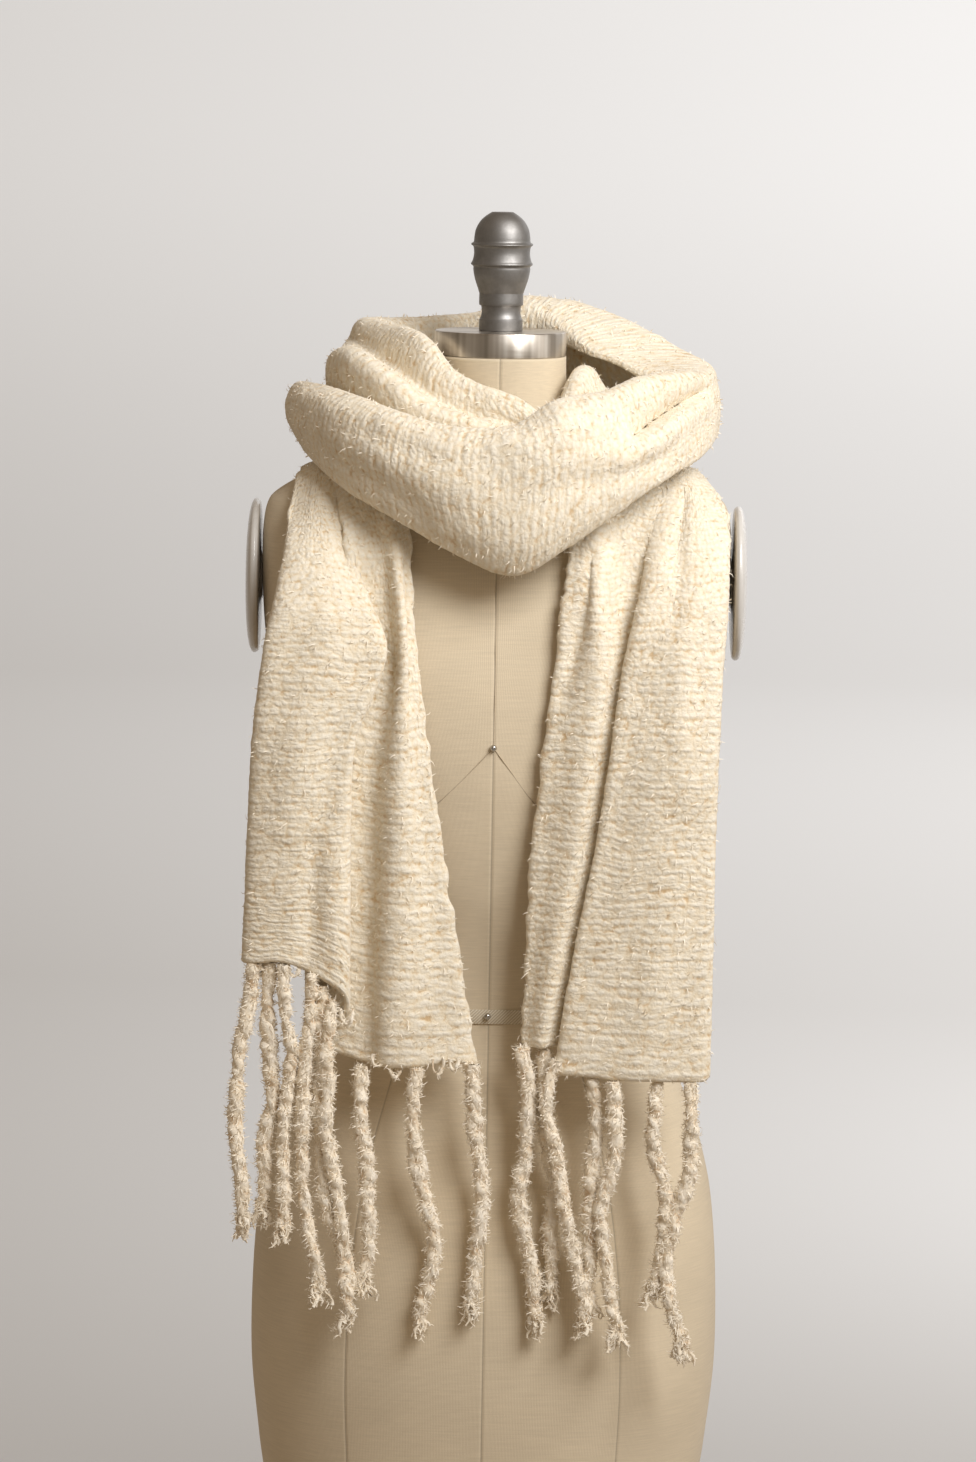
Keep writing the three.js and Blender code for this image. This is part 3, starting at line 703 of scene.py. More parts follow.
def fibres_on(name, piece, seed, share):
    """Short curled strips standing on the outside of a piece, as one mesh."""
    rng = np.random.default_rng(seed)
    mesh = piece.data
    middle, out = read(mesh.polygons, "center"), read(mesh.polygons, "normal")
    area = read(mesh.polygons, "area", 1)[:, 0]
    count = int(share * area.sum() / FIBRE_AREA)
    chosen = rng.choice(len(area), count, p=area / area.sum())
    foot, out = middle[chosen], out[chosen]
    lean = rng.normal(size=(count, 3))
    side = unit(np.cross(out, lean))
    curl = np.cross(side, out)
    length = FIBRE_LENGTH * rng.uniform(0.5, 1.2, (count, 1))
    bend = rng.uniform(0.3, 1.1, (count, 1))
    strips = []
    for rise, reach, width in ((-0.1, 0.0, 1.0), (0.33, 0.35, 0.8), (0.42, 0.95, 0.3)):
        spine = foot + length * (rise * out + reach * bend * curl)
        strips += [spine - width * FIBRE_WIDTH / 2 * side, spine + width * FIBRE_WIDTH / 2 * side]
    points = np.stack(strips, axis=1).reshape(-1, 3)
    first = 6 * np.arange(count)[:, None]
    faces = np.concatenate([first + [0, 1, 3, 2], first + [2, 3, 5, 4]])
    made = bpy.data.meshes.new(name)
    made.from_pydata(points.tolist(), [], faces.tolist())
    keep(made, "loft", np.full(len(points), 0.8))
    return add(name, made)


loose = {name: fibres_on("fibres_" + name, piece, CLOTH_FIBRE_SEED + n, ON_CLOTH)
         for n, (name, piece) in enumerate(pieces.items())}
cord_loose = {name: fibres_on("fibres_" + name + "_cords", piece, CORD_FIBRE_SEED, ON_CORDS)
              for name, piece in fringes.items()}
print("fibres", sum(len(p.data.polygons) // 2 for p in [*loose.values(), *cord_loose.values()]))

# %% [markdown]
# ## The dress form
# Under its linen the form is a padded shell. The cover is sewn from panels, and their seams run
# down the front, over the bust, down the sides and down the back. The columns of the mesh follow
# those seams, and each point keeps its distance from the nearest, so the material can draw them.

# %% The torso
# level, half width, reach to the front, reach to the back, squareness, seam's place across the half
TORSO = [
    [0, 168, 112, 108, 2.3, 0.60],
    [60, 176, 118, 112, 2.3, 0.59],
    [130, 183, 124, 118, 2.3, 0.58],
    [210, 182, 124, 122, 2.3, 0.57],
    [270, 176, 117, 118, 2.3, 0.55],
    [320, 163, 108, 105, 2.3, 0.53],
    [370, 143, 98, 92, 2.3, 0.51],
    [415, 126, 92, 82, 2.3, 0.50],
    [460, 130, 95, 84, 2.3, 0.51],
    [520, 141, 108, 90, 2.3, 0.53],
    [580, 152, 116, 95, 2.4, 0.55],
    [620, 161, 118, 98, 2.5, 0.56],
    [660, 171, 115, 101, 2.7, 0.56],
    [700, 178, 108, 100, 3, 0.55],
    [744, 181, 96, 95, 3.2, 0.55],
    [785, 181, 78, 82, 3.2, 0.56],
    [806, 176, 67, 72, 3, 0.58],
    [820, 156, 59, 65, 2.8, 0.60],
    [832, 126, 56, 61, 2.6, 0.60],
    [844, 98, 54, 58, 2.4, 0.60],
    [858, 74, 53, 56, 2.2, 0.60],
    [874, 58, 52, 54, 2, 0.60],
    [896, 52, 51, 52, 2, 0.60],
    [918, 51, 51, 51, 2, 0.60],
]
PANEL = 16  # columns in each of the eight panels


def torso_ring(row, grow=0.0):
    """The points round the form at one level, panel by panel from the centre front."""
    z, wide, front, rear, square, seam = row
    p = math.degrees(math.asin(seam ** (square / 2)))
    marks = [0, p, 90, 180 - p, 180, 180 + p, 270, 360 - p, 360]
    phi = np.radians(np.interp(np.arange(8 * PANEL + 1) / PANEL, range(9), marks))
    c, s = np.cos(phi), np.sin(phi)
    x = (wide + grow) * np.sign(s) * np.abs(s) ** (2 / square)
    deep = np.where(c > 0, front, rear) + grow
    y = -deep * np.sign(c) * np.abs(c) ** (2 / square)
    return np.stack([x, y, np.full_like(x, z)], axis=1) / 1000 + AXIS


def ring_body(name, rings, levels, **kept):
    """A closed body from rings: a grid with its two sides merged and its ends filled."""
    rings = np.array(rings)
    step = np.linalg.norm(np.diff(rings, axis=1), axis=-1).mean(axis=0)
    around = np.concatenate([[0], np.cumsum(step)])
    mesh, row, column = grid_mesh(name, rings, np.asarray(levels, float), around)
    for label, values in kept.items():
        keep(mesh, label, values[row, column])
    bm = bmesh.new()
    bm.from_mesh(mesh)
    bpy.data.meshes.remove(mesh)
    bmesh.ops.remove_doubles(bm, verts=bm.verts, dist=1e-5)
    rim = [edge for edge in bm.edges if edge.is_boundary]
    bmesh.ops.holes_fill(bm, edges=rim, sides=0)
    bmesh.ops.recalc_face_normals(bm, faces=bm.faces)
    return from_bmesh(name, bm)


NECK_FROM = 0.850  # above this level only every other seam runs on


def seam_distance(rings):
    """For each point of the rings, how far it is along its ring from the nearest seam."""
    rings = np.array(rings)
    step = np.linalg.norm(np.diff(rings, axis=1), axis=-1)
    run = np.concatenate([np.zeros((len(rings), 1)), np.cumsum(step, axis=1)], axis=1)
    seams = run[:, ::PANEL].copy()
    neck = np.flatnonzero(rings[:, 0, 2] > NECK_FROM)
    seams[np.ix_(neck, np.arange(1, seams.shape[1], 2))] = np.inf
    return np.abs(run[:, :, None] - seams[:, None, :]).min(axis=2)


base_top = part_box("form_torso")[0][2] * 1000
table = np.array(TORSO, float)
FINE_FROM, NECK_TOP = 790, 918  # the rows are closer together between these levels
levels = np.concatenate([[base_top], np.arange(24, FINE_FROM, 6.0),
                         np.arange(FINE_FROM, NECK_TOP, 2.0), [NECK_TOP]])
rows = spline(table, np.interp(levels, table[:, 0], np.arange(len(table))))
rows[:, 0] = levels
rings = [torso_ring(row) for row in rows]
torso = ring_body("torso_cover", rings, levels / 1000, seam=seam_distance(rings))
print("torso of", len(torso.data.polygons), "faces")


def level_row(z):
    """The row of the torso's table for any level, between its own rows."""
    return [z] + [float(np.interp(z, table[:, 0], column)) for column in table.T[1:]]


def on_front(x, z, proud=0.0):
    """The place on the front of the torso, from a place across and a level in mm."""
    _, wide, front, _, square, _ = level_row(z)
    y = -front * (1 - (abs(x) / wide) ** square) ** (1 / square)
    return Vector((AXIS[0] + x / 1000, AXIS[1] + y / 1000 - proud, z / 1000))


# %% [markdown]
# ## Pins and marking strings
# Two round-headed pins are pushed into the centre front, one at the bust and one at the waist.
# Thin strings run from the upper one, up the middle and down to both sides, to mark the lines of
# the form.

# %% Pins and strings
BUST_Z, WAIST_Z = 628, 417
PIN_R = 0.0026
PROUD = 0.9 * PIN_R  # from the cover to the middle of a head
ON_TAPE = 0.0014  # how much further out the waist tape holds its pin


def ball_pin(name, place):
    """The round head of a pin that is pushed right in."""
    bm = bmesh.new()
    bmesh.ops.create_uvsphere(bm, u_segments=24, v_segments=16, radius=PIN_R)
    bmesh.ops.translate(bm, verts=bm.verts, vec=place)
    return from_bmesh(name, bm)


bust_pin = ball_pin("bust_pin", on_front(0, BUST_Z, PROUD))
waist_pin = ball_pin("waist_pin", on_front(-1, WAIST_Z, PROUD + ON_TAPE))
STRING_R, STRING_OUT = 0.00038, 0.0004  # radius, and how far its middle is from the cover
STRINGS = [[(0, BUST_Z), (0.5, 680), (0, 716), (0, 752)],
           [(0, BUST_Z), (-22, 604), (-45, 581), (-74, 556)],
           [(0, BUST_Z), (14, 609), (28, 590), (52, 562)]]
lines = []
for marks in STRINGS:
    fine = spline(marks, np.linspace(0, len(marks) - 1, 40))
    points = np.array([on_front(x, z, STRING_OUT) for x, z in fine])
    lines.append((points, np.full(len(points), STRING_R)))
strings = strand_curve("marking_strings", lines)
print("strings of", len(strings.data.polygons), "faces")

# %% [markdown]
# ## Turned and moulded parts
# The neck cap and the finial are turned, so each is a profile spun round the axis. An arm plate is
# a spun dome squeezed to an oval and laid on its side.

# %% Neck cap
CORNER_FROM = math.radians(28)  # a sharper turn than this is a crisp edge


def turned(name, profile):
    """A closed body of revolution about the form's axis, from radius and level in mm."""
    bm = spun([(r / 1000, z / 1000) for r, z in profile], AXIS, 96)
    bmesh.ops.recalc_face_normals(bm, faces=bm.faces)
    piece = from_bmesh(name, bm)
    piece.data.set_sharp_from_angle(angle=CORNER_FROM)
    return piece


def rounded(profile, steps):
    """The profile drawn as a smooth curve through its points."""
    at = np.linspace(0, len(profile) - 1, steps * (len(profile) - 1) + 1)
    return [tuple(point) for point in spline(profile, at)]


low, high = (corner[2] * 1000 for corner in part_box("form_neck_cap"))
reach = (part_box("form_neck_cap")[1][0] - AXIS[0]) * 1000
cap = turned("neck_cap", [(0, low), (reach - 0.4, low), (reach, low + 0.4), (reach, high - 1.0),
                          (reach - 0.3, high - 0.4), (reach - 1.0, high), (0, high)])

# %% Finial
# height above the neck plate and radius in mm
FINIAL = [(0, 16.8), (8, 16.8), (9, 16.2), (12, 15.2), (15.5, 15), (19, 15.6), (20, 17), (28, 17),
          (29, 17.2), (34.5, 19), (39, 20.5), (43.5, 21.5), (47, 22), (49, 22), (50.5, 23.7),
          (51.6, 23.7), (53.5, 22.6), (58.5, 21.6), (62.5, 21.8), (64.5, 22.4), (65.5, 23.7),
          (66.6, 23.7), (68, 21.9), (72, 21.5), (78, 20.3), (84, 16.9), (88, 12.6), (90.8, 8.2)]
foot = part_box("form_finial")[0][2] * 1000
profile = rounded([(r, foot + h) for h, r in FINIAL], 4)
finial = turned("finial", [(0, foot)] + profile + [(0, profile[-1][1])])
print("finial of", len(finial.data.polygons), "faces")

# %% Arm plates
# how far out and the share of the full oval
ARM = [(0.3, 0.3), (1.6, 0.34), (2.4, 0.9), (4, 0.985), (6, 1), (8.5, 0.97), (10.8, 0.84),
       (12.3, 0.6), (13, 0.25)]


def arm_plate(name, node, side):
    """A domed oval plate standing on a hidden boss, on one side of the torso."""
    low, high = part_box(node)
    middle = [(a + b) / 2 for a, b in zip(low, high)]
    deep, tall = (high[1] - low[1]) / 2, (high[2] - low[2]) / 2
    inner = low[0] if side > 0 else high[0]
    first = ARM[0][0]
    profile = [(share, (out - first) / 1000) for out, share in ARM]
    profile = [(0, profile[0][1])] + rounded(profile, 3) + [(0, profile[-1][1])]
    bm = spun(profile, (0, 0, 0), 72)
    bmesh.ops.scale(bm, verts=bm.verts, vec=(tall, deep, 1))
    turn = Matrix.Rotation(math.radians(90 * side), 4, "Y")
    bmesh.ops.rotate(bm, verts=bm.verts, cent=(0, 0, 0), matrix=turn)
    bmesh.ops.translate(bm, verts=bm.verts, vec=(inner, middle[1], middle[2]))
    bmesh.ops.recalc_face_normals(bm, faces=bm.faces)
    return from_bmesh(name, bm)


arm_plates = [arm_plate("left_arm_plate_dome", "form_left_arm_plate", -1),
              arm_plate("right_arm_plate_dome", "form_right_arm_plate", 1)]
for piece in arm_plates:
    print(piece.name, [round(value, 4) for value in piece.dimensions])

# %% [markdown]
# ## Waist tape and base board
# A narrow twill tape is tacked round the waist. The board under the form closes it and carries it;
# both follow the same ovals as the cover.

# %% Waist tape
TAPE_Z, TAPE_W, TAPE_T, GAP = 416, 11, 1.2, 0.3  # level, width, thickness, distance from the cover
bm = bmesh.new()
ring = torso_ring(level_row(TAPE_Z), GAP)[:-1]
points = [bm.verts.new(p - (0, 0, TAPE_W / 2000)) for p in ring]
edges = [bm.edges.new(pair) for pair in zip(points, points[1:] + points[:1])]
up = bmesh.ops.extrude_edge_only(bm, edges=edges)["geom"]
bmesh.ops.translate(bm, verts=[v for v in up if isinstance(v, bmesh.types.BMVert)],
                    vec=(0, 0, TAPE_W / 1000))
bmesh.ops.recalc_face_normals(bm, faces=bm.faces)
tape = from_bmesh("waist_tape", bm)
band = tape.modifiers.new("thickness", "SOLIDIFY")
band.thickness, band.offset = TAPE_T / 1000, 1
soft = tape.modifiers.new("soft_edges", "BEVEL")
soft.width, soft.segments = 0.0003, 2
settled(tape)

# %% Base board
low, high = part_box("form_base_board")
bm = bmesh.new()
SET_IN, ROUND = 1, 3  # how far it is inside the outline of the cover, and its rounded edge
bottom, top = low[2] * 1000, high[2] * 1000
rows = [(bottom, -SET_IN - ROUND), (bottom + ROUND, -SET_IN), (top - ROUND, -SET_IN),
        (top, -SET_IN - ROUND)]
rings = []
for z, grow in rows:
    ring = torso_ring(TORSO[0], grow)[:-1]
    ring[:, 2] = z / 1000
    rings.append([bm.verts.new(p) for p in ring])
loops = [[bm.edges.new(pair) for pair in zip(ring, ring[1:] + ring[:1])] for ring in rings]
for a, b in zip(loops, loops[1:]):
    bmesh.ops.bridge_loops(bm, edges=a + b)
for loop in (loops[0], loops[-1]):
    bmesh.ops.contextual_create(bm, geom=loop)
bmesh.ops.recalc_face_normals(bm, faces=bm.faces)
board = from_bmesh("base_board", bm)
print("tape and board of", len(tape.data.polygons), "and", len(board.data.polygons), "faces")

# %% [markdown]
# ## Materials
# Every finish is made of nodes. The knit and the cords read the height of their own loops, kept on
# the mesh, and paint shade by it: the gaps are painted darker and warmer than the tops. The linen's
# weave reads the UV map, in metres, and its seams read the distance kept on the mesh.

# %% Node helpers
def material(name, **settings):
    """A new material, its tree and its Principled shader, with the given sockets set."""
    made = bpy.data.materials.new(name)
    made.use_nodes = True
    tree = made.node_tree
    shader = tree.nodes["Principled BSDF"]
    for socket, value in settings.items():
        shader.inputs[socket.replace("_", " ")].default_value = value
    return made, tree, shader


def node(tree, kind, settings=None, **inputs):
    """A node of a kind, its own settings, and its inputs as values or as other nodes' outputs."""
    made = tree.nodes.new("ShaderNode" + kind)
    for name, value in (settings or {}).items():
        setattr(made, name, value)
    for name, value in inputs.items():
        socket = made.inputs[int(name[1:]) if name[0] == "_" else name.replace("_", " ")]
        if isinstance(value, bpy.types.NodeSocket):
            tree.links.new(value, socket)
        else:
            socket.default_value = value
    return made


def wire(tree, shader, **outputs):
    """Joins outputs of nodes to the sockets of a shader."""
    for socket, output in outputs.items():
        tree.links.new(output, shader.inputs[socket.replace("_", " ")])


def numbered(values, first=0):
    """The values as inputs that are known by number."""
    return {"_" + str(first + n): value for n, value in enumerate(values)}


def maths(tree, operation, *values):
    """The result of one sum on the values."""
    return node(tree, "Math", {"operation": operation}, **numbered(values)).outputs[0]


def ranged(tree, value, *limits, smooth=False):
    """A value moved from one range to another: its low and high, then the new low and high."""
    settings = {"interpolation_type": "SMOOTHSTEP"} if smooth else None
    return node(tree, "MapRange", settings, Value=value, **numbered(limits, 1)).outputs[0]


def ramp(tree, factor, *stops):
    """A colour ramp through the stops, each a place and a colour."""
    made = node(tree, "ValToRGB", Fac=factor)
    band = made.color_ramp
    while len(band.elements) < len(stops):
        band.elements.new(0.5)
    for element, (place, colour) in zip(band.elements, stops):
        element.position, element.color = place, (*colour, 1)
    return made.outputs["Color"]


def bump(tree, height, distance, strength=1.0, normal=None):
    """A normal bent by a height in metres, on top of another normal if one is given."""
    made = node(tree, "Bump", Height=height, Distance=distance, Strength=strength)
    if normal:
        tree.links.new(normal, made.inputs["Normal"])
    return made.outputs["Normal"]


# %% Fuzzy yarn, shared by the knit and the cords
fuzz = bpy.data.node_groups.new("fuzzy_yarn", "ShaderNodeTree")
for label, way, kind in (
        ("Place", "INPUT", "Vector"), ("Height", "INPUT", "Float"),
        ("Gap Colour", "INPUT", "Color"), ("Middle Colour", "INPUT", "Color"),
        ("Top Colour", "INPUT", "Color"),
        ("Colour", "OUTPUT", "Color"), ("Relief", "OUTPUT", "Float")):
    fuzz.interface.new_socket(label, in_out=way, socket_type="NodeSocket" + kind)
given = fuzz.nodes.new("NodeGroupInput").outputs
curls = node(fuzz, "TexVoronoi", {"feature": "SMOOTH_F1"}, Vector=given["Place"], Scale=420.0,
             Smoothness=0.6)
fibres = node(fuzz, "TexNoise", Vector=given["Place"], Scale=1500.0, Detail=3.0, Roughness=0.7)
patch = node(fuzz, "TexNoise", Vector=given["Place"], Scale=60.0, Detail=2.0)
lifted = ranged(fuzz, curls.outputs["Distance"], 0.0, 0.75, 0.16, -0.16)
fine = ranged(fuzz, fibres.outputs["Fac"], 0.25, 0.75, -0.12, 0.12)
total = maths(fuzz, "ADD", maths(fuzz, "ADD", given["Height"], lifted), fine)
# The colour follows the height as painted shade: darker and warmer down in the gaps between loops,
# lighter on the loop tops.
lower = node(fuzz, "MixRGB", Fac=ranged(fuzz, total, 0.06, 0.30), Color1=given["Gap Colour"],
             Color2=given["Middle Colour"])
upper = node(fuzz, "MixRGB", Fac=ranged(fuzz, total, 0.30, 0.80), Color1=lower.outputs[0],
             Color2=given["Top Colour"])
toned = node(fuzz, "MixRGB", {"blend_type": "MULTIPLY"}, Fac=1.0, Color1=upper.outputs[0],
             Color2=ranged(fuzz, patch.outputs["Fac"], 0.3, 0.7, 0.94, 1.04))
result = fuzz.nodes.new("NodeGroupOutput").inputs
fuzz.links.new(toned.outputs[0], result["Colour"])
fuzz.links.new(total, result["Relief"])


def stitched(tree, here, height):
    """The height of the knit with its fine loops: a row of small domes between two grooves."""
    stitch = node(tree, "Attribute", {"attribute_name": "stitch"}).outputs["Vector"]
    stray = node(tree, "TexNoise", Vector=here, Scale=240.0, Detail=1.0)
    shift = node(tree, "VectorMath", {"operation": "MULTIPLY_ADD"},
                 _0=stray.outputs["Color"], _1=(0.35, 0.5, 0.0), _2=stitch).outputs[0]
    row = node(tree, "SeparateXYZ", Vector=shift).outputs["X"]
    wave = maths(tree, "ABSOLUTE", maths(tree, "SINE", maths(tree, "MULTIPLY", row, math.pi)))
    # The grooves between rows lower the height, so they darken the colour as painted shade as well
    # as bending the normal.
    groove = ranged(tree, wave, 0.0, 0.8, 0.45)
    nubs = node(tree, "Mapping", Vector=shift, Scale=(1.5, 1.0, 1.0))
    cell = node(tree, "TexVoronoi", {"voronoi_dimensions": "2D"}, Vector=nubs.outputs[0],
                Scale=1.0, Randomness=0.75)
    dome = ranged(tree, cell.outputs["Distance"], 0.05, 0.75, 0.66, 0.12, smooth=True)
    return maths(tree, "ADD", maths(tree, "MULTIPLY", groove, dome),
                 maths(tree, "MULTIPLY", height, 0.40))


def yarn(name, gap, middle, top, depth, stitches=False):
    """A material of the fuzzy yarn with its own colours, and for the knit with its loops."""
    made, tree, shader = material(name, Roughness=0.95, Sheen_Weight=0.35, Sheen_Roughness=0.6,
                                  Specular_IOR_Level=0.15, Sheen_Tint=(1, 0.96, 0.9, 1))
    here = node(tree, "TexCoord").outputs["Object"]
    height = node(tree, "Attribute", {"attribute_name": "loft"}).outputs["Fac"]
    if stitches:
        height = stitched(tree, here, height)
    wool = node(tree, "Group", {"node_tree": fuzz}, Place=here, Height=height,
                Gap_Colour=(*gap, 1), Middle_Colour=(*middle, 1), Top_Colour=(*top, 1))
    wire(tree, shader, Base_Color=wool.outputs["Colour"],
         Normal=bump(tree, wool.outputs["Relief"], depth))
    return made


# Colours from the gaps to the tops of the loops; the darker, warmer gap colour is painted shade.
knit_wool = yarn("boucle_knit", (0.68, 0.49, 0.28), (0.86, 0.755, 0.575), (0.91, 0.85, 0.725),
                 0.0008, stitches=True)
cord_wool = yarn("fringe_yarn", (0.74, 0.56, 0.37), (0.91, 0.80, 0.63), (0.95, 0.88, 0.76), 0.0008)
loose_wool = yarn("loose_fibres", (0.6, 0.45, 0.30), (0.9, 0.80, 0.63), (0.96, 0.89, 0.77), 0.0)

# %% Linen
linen, tree, shader = material("linen_cover", Roughness=0.85, Specular_IOR_Level=0.25,
                               Sheen_Weight=0.15)
cloth_uv = node(tree, "TexCoord").outputs["UV"]
THREAD = 2 * math.pi / 0.0009
weft, warp = (node(tree, "TexWave", {"wave_type": "BANDS", "bands_direction": way}, Vector=cloth_uv,
                   Scale=THREAD / 20, Distortion=1.2, Detail=1.0, Detail_Scale=3.0).outputs["Fac"]
              for way in "XY")
weave = maths(tree, "MULTIPLY", weft, warp)
stretched = node(tree, "Mapping", Vector=cloth_uv, Scale=(900, 45, 1))
slub = node(tree, "TexNoise", Vector=stretched.outputs[0], Scale=1.0, Detail=2.0)
tone = node(tree, "TexNoise", Vector=cloth_uv, Scale=14.0, Detail=3.0)
seam = node(tree, "Attribute", {"attribute_name": "seam"}).outputs["Fac"]
shades = ranged(tree, tone.outputs["Fac"], 0.3, 0.7, 0.95, 1.04)
for part in (ranged(tree, weave, 0.0, 0.8, 0.90, 1.03),
             ranged(tree, slub.outputs["Fac"], 0.3, 0.7, 0.95, 1.04),
             ranged(tree, seam, 0.0001, 0.0009, 0.68, 1.0)):
    shades = maths(tree, "MULTIPLY", shades, part)
colour = node(tree, "MixRGB", {"blend_type": "MULTIPLY"}, Fac=1.0,
              Color1=(0.76, 0.65, 0.48, 1), Color2=shades)
groove = ranged(tree, seam, 0.0, 0.0022, smooth=True)
woven = bump(tree, weave, 0.0002, 0.6)
wire(tree, shader, Base_Color=colour.outputs[0], Normal=bump(tree, groove, 0.0005, 0.8, woven))


# %% Metals
def mottled(name, noise, dark, light, rough=None, **settings):
    """A finish between two colours after a soft noise, and between two roughnesses if given."""
    made, tree, shader = material(name, **settings)
    here = node(tree, "TexCoord").outputs["Object"]
    cloudy = node(tree, "TexNoise", Vector=here, **noise).outputs["Fac"]
    wire(tree, shader, Base_Color=ramp(tree, cloudy, (0.3, dark), (0.7, light)))
    if rough:
        wire(tree, shader, Roughness=ranged(tree, cloudy, 0.3, 0.7, *rough))
    return made, tree, shader, here


steel, tree, shader = material("brushed_steel", Metallic=1.0)
here = node(tree, "TexCoord").outputs["Object"]
centred = node(tree, "VectorMath", {"operation": "SUBTRACT"}, _0=here, _1=tuple(AXIS))
# The fine brushed scratches are the metal's own; the broad upright bars of lighter and darker colour
# round the cap are painted reflections.
around = node(tree, "TexGradient", {"gradient_type": "RADIAL"}, Vector=centred.outputs[0])
painted_reflection_bars = node(tree, "TexNoise", {"noise_dimensions": "1D"}, W=around.outputs["Fac"], Scale=26.0,
            Detail=2.0, Roughness=0.55)
brushed = node(tree, "Mapping", Vector=here, Scale=(40, 40, 2600))
scratch = node(tree, "TexNoise", Vector=brushed.outputs[0], Scale=1.0, Detail=4.0).outputs["Fac"]
wire(tree, shader,
     Base_Color=ramp(tree, painted_reflection_bars.outputs["Fac"], (0.30, (0.38, 0.34, 0.29)),
                     (0.5, (0.56, 0.51, 0.45)), (0.68, (0.74, 0.70, 0.64))),
     Roughness=ranged(tree, scratch, 0.3, 0.7, 0.28, 0.42),
     Normal=bump(tree, scratch, 0.00006, 0.6))

pewter, tree, shader, here = mottled(
    "cast_pewter", {"Scale": 120.0, "Detail": 4.0, "Roughness": 0.65}, (0.26, 0.25, 0.24),
    (0.33, 0.32, 0.31), (0.55, 0.48), Metallic=1.0)
grit = node(tree, "TexNoise", Vector=here, Scale=900.0, Detail=2.0)
wire(tree, shader, Normal=bump(tree, grit.outputs["Fac"], 0.0001, 0.5))

pin_steel = mottled("pin_steel", {"Scale": 800.0}, (0.45, 0.43, 0.40), (0.62, 0.60, 0.56),
                    Metallic=1.0, Roughness=0.25)[0]

# %% Plastic, tape, string and wood
plastic = mottled("arm_plate_plastic", {"Scale": 50.0, "Detail": 4.0}, (0.60, 0.58, 0.55),
                  (0.66, 0.64, 0.61), (0.22, 0.32), Coat_Weight=0.4, Coat_Roughness=0.06)[0]
string = mottled("marking_string", {"Scale": 1600.0}, (0.40, 0.32, 0.22), (0.55, 0.46, 0.34),
                 Roughness=0.8)[0]

twill, tree, shader = material("waist_tape_twill", Roughness=0.9, Specular_IOR_Level=0.2)
here = node(tree, "TexCoord").outputs["Object"]
slanted = node(tree, "Mapping", Vector=here, Rotation=(0, math.radians(45), 0))
ribs = node(tree, "TexWave", {"bands_direction": "Z"}, Vector=slanted.outputs[0], Scale=180.0,
            Distortion=0.6).outputs["Fac"]
wire(tree, shader,
     Base_Color=ramp(tree, ribs, (0.1, (0.52, 0.44, 0.32)), (0.8, (0.74, 0.68, 0.56))),
     Normal=bump(tree, ribs, 0.0002, 0.6))

wood, tree, shader = material("base_wood", Coat_Weight=0.25, Coat_Roughness=0.2)
here = node(tree, "TexCoord").outputs["Object"]
grain_place = node(tree, "Mapping", Vector=here, Scale=(3, 40, 40))
grain = node(tree, "TexNoise", Vector=grain_place.outputs[0], Scale=3.0, Detail=6.0,
             Roughness=0.6).outputs["Fac"]
wire(tree, shader,
     Base_Color=ramp(tree, grain, (0.3, (0.30, 0.18, 0.09)), (0.7, (0.48, 0.32, 0.17))),
     Roughness=ranged(tree, grain, 0.3, 0.7, 0.38, 0.5), Normal=bump(tree, grain, 0.0003, 0.4))

# %% [markdown]
# ## Putting the pieces on the frame
# Each piece rides on the part's one body and takes its finish, and stands for its plain solid if
# it has one.

# %% Finishes and places
def place(piece, finish, slot, *nodes):
    """Gives a piece its finish and says which solids it stands for; the slot is not used."""
    piece.data.materials.clear()
    piece.data.materials.append(finish)
    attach(piece, "root")
    if nodes:
        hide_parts(*nodes)


for name, piece in pieces.items():
    place(piece, knit_wool, "boucle_knit", "scarf_" + name)
    place(loose[name], loose_wool, "boucle_knit")
for name, piece in fringes.items():
    place(piece, cord_wool, "fringe_yarn", "scarf_" + name + "_fringe")
    place(cord_loose[name], loose_wool, "fringe_yarn")
place(torso, linen, "linen_cover", "form_torso")
place(cap, steel, "cap_steel", "form_neck_cap")
place(finial, pewter, "finial_pewter", "form_finial")
for piece, side in zip(arm_plates, ("left", "right")):
    place(piece, plastic, "arm_plate_plastic", "form_" + side + "_arm_plate")
place(tape, twill, "waist_tape_twill", "form_waist_tape")
place(board, wood, "base_wood", "form_base_board")
for piece in (bust_pin, waist_pin):
    place(piece, pin_steel, "cap_steel")
place(strings, string, "waist_tape_twill")

# what each stretch lies on or hangs from; the first two of the spiral are 5 to 6 mm clear of it
RESTS = {name: ["torso_cover"] for name in pieces}
RESTS.update(back_wrap=["knit_back_under"], front_swag=["knit_left_tail"])
for name, piece in pieces.items():
    beside = [loose[name]]
    if name.endswith("tail"):
        beside += [fringes[name[:-5]], cord_loose[name[:-5]]]

# %% [markdown]
# ## Stage and lights
# The form stands on a plain pale floor that runs up into a round wall without a corner, far enough
# out that the camera can go right round it. A large soft light from the front right and above
# shapes the knit, and warm surroundings fill the shadows. Lights of their own, which the form
# doesn't catch, brighten the paper.

# %% Floor and wall
REACH, CORNER, TOP = 8.0, 2.5, 6.0
curve = [(0, 0), (REACH - CORNER, 0)]
curve += [(REACH - CORNER + CORNER * math.sin(a), CORNER - CORNER * math.cos(a))
          for a in np.linspace(0.1, math.pi / 2, 16)] + [(REACH, TOP)]
bm = spun(curve, (0, 0, 0), 96)
bmesh.ops.recalc_face_normals(bm, faces=bm.faces)
bmesh.ops.reverse_faces(bm, faces=bm.faces)
floor = from_bmesh("studio_floor", bm)
paint, tree, shader = material("studio_paper", Roughness=0.9)
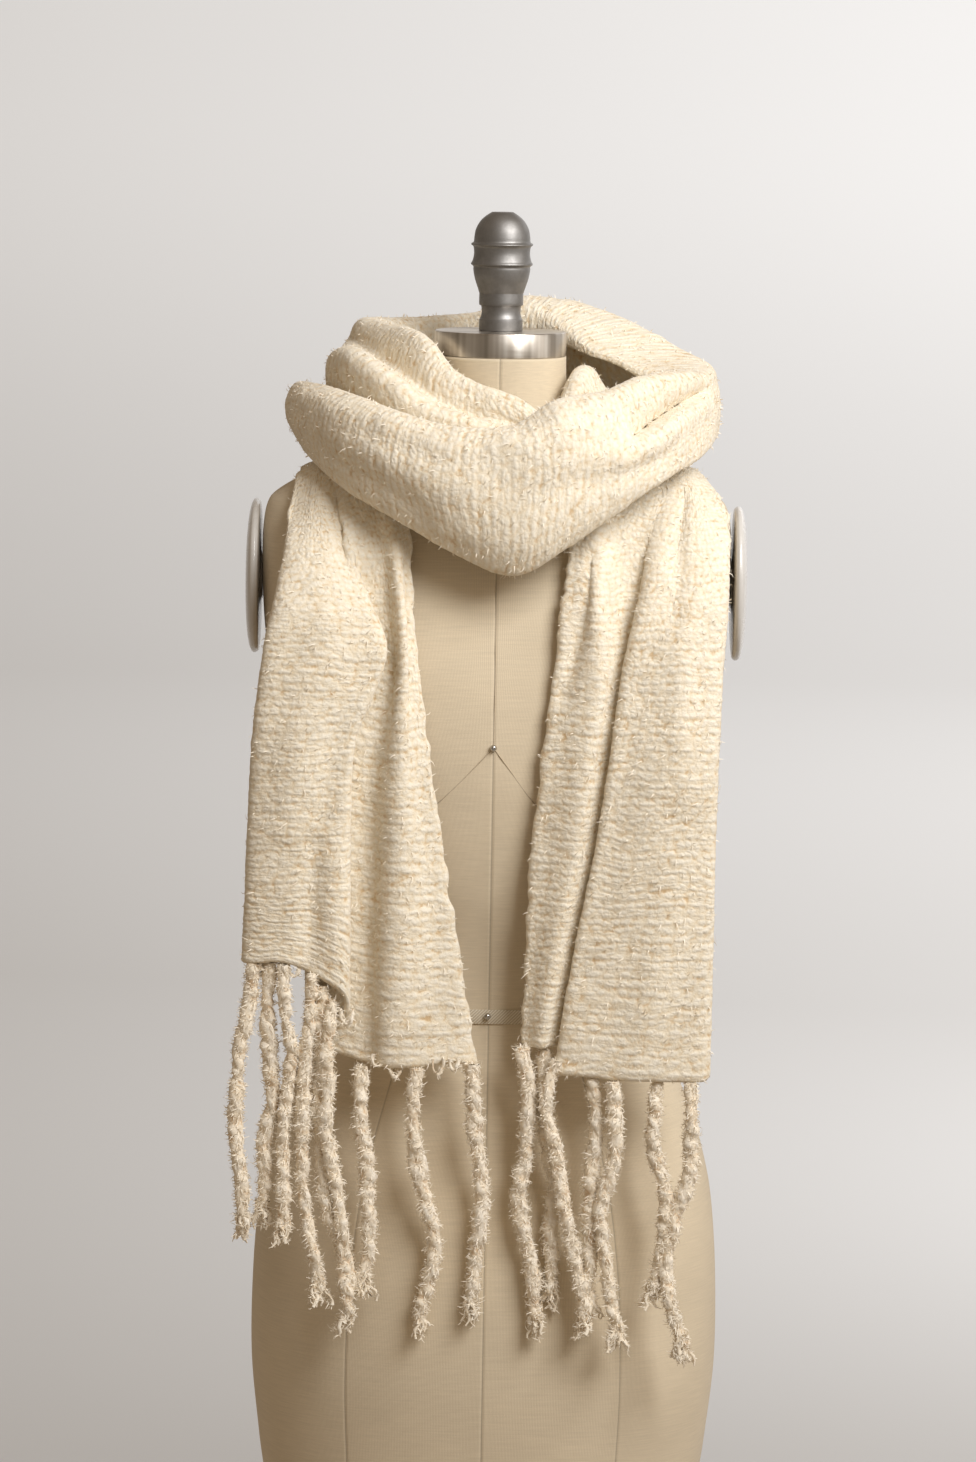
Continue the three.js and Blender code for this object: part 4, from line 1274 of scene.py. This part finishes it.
# The paper's colour is painted shade: darker on the floor, lighter up the wall.
height = node(tree, "SeparateXYZ", Vector=node(tree, "TexCoord").outputs["Object"]).outputs["Z"]
rise = ranged(tree, height, 0.0, 1.0, smooth=True)
wire(tree, shader,
     Base_Color=ramp(tree, rise, (0.0, (0.69, 0.71, 0.73)), (1.0, (0.82, 0.85, 0.88))))
floor.data.materials.append(paint)
floor.visible_diffuse = False  # the fill comes from the warm surroundings alone


# %% Lights
def soft_light(name, place, aim, size, power, colour):
    """A rectangular light at a place, turned to face its aim."""
    data = bpy.data.lights.new(name, "AREA")
    data.shape, data.size, data.size_y = "RECTANGLE", size[0], size[1]
    data.energy, data.color = power, colour
    lamp = bpy.data.objects.new(name, data)
    bpy.context.scene.collection.objects.link(lamp)
    lamp.location = place
    lamp.rotation_euler = (Vector(aim) - Vector(place)).to_track_quat("-Z", "Y").to_euler()
    return lamp


form_only, paper_only = (bpy.data.collections.new(name) for name in ("form_only", "paper_only"))
for piece in bpy.data.objects:
    if piece.type == "MESH":
        (paper_only if piece is floor else form_only).objects.link(piece)
# name, place, aim, size, power and colour of each
FORM_LIGHTS = [
    ("key", (1.15, -1.45, 2.15), (0, 0, 0.76), (1.2, 1.2), 58, (1.0, 0.995, 0.99)),
    ("side", (2.4, -0.6, 1.3), (0, 0, 0.6), (1.0, 1.4), 6, (1.0, 0.98, 0.95)),
    ("top", (0.3, -0.5, 3.4), (0, 0, 0.7), (2.0, 2.0), 2, (1.0, 0.98, 0.96))]
PAPER_LIGHTS = [
    ("wall", (2.5, 3.5, 4.8), (3.2, 9.0, 3.0), (4.0, 2.0), 290, (1.0, 0.995, 1.0)),
    ("far_floor", (2.0, 2.5, 3.0), (1.4, 2.6, 0.0), (3.0, 3.0), 85, (1.0, 0.99, 0.99)),
    ("near_floor", (1.4, 1.0, 1.2), (0.7, 1.2, 0.0), (1.0, 1.6), 13, (1.0, 0.99, 0.99))]
for lit, lamps in ((form_only, FORM_LIGHTS), (paper_only, PAPER_LIGHTS)):
    for lamp in lamps:
        soft_light(*lamp).light_linking.receiver_collection = lit
world = bpy.data.worlds.new("studio")
bpy.context.scene.world = world
world.use_nodes = True
background = world.node_tree.nodes["Background"]
background.inputs["Color"].default_value = (1.0, 0.80, 0.60, 1)
background.inputs["Strength"].default_value = 0.30
bpy.context.scene.view_settings.view_transform = "Standard"

# %% Bring the scene up to date
bpy.context.view_layer.update()
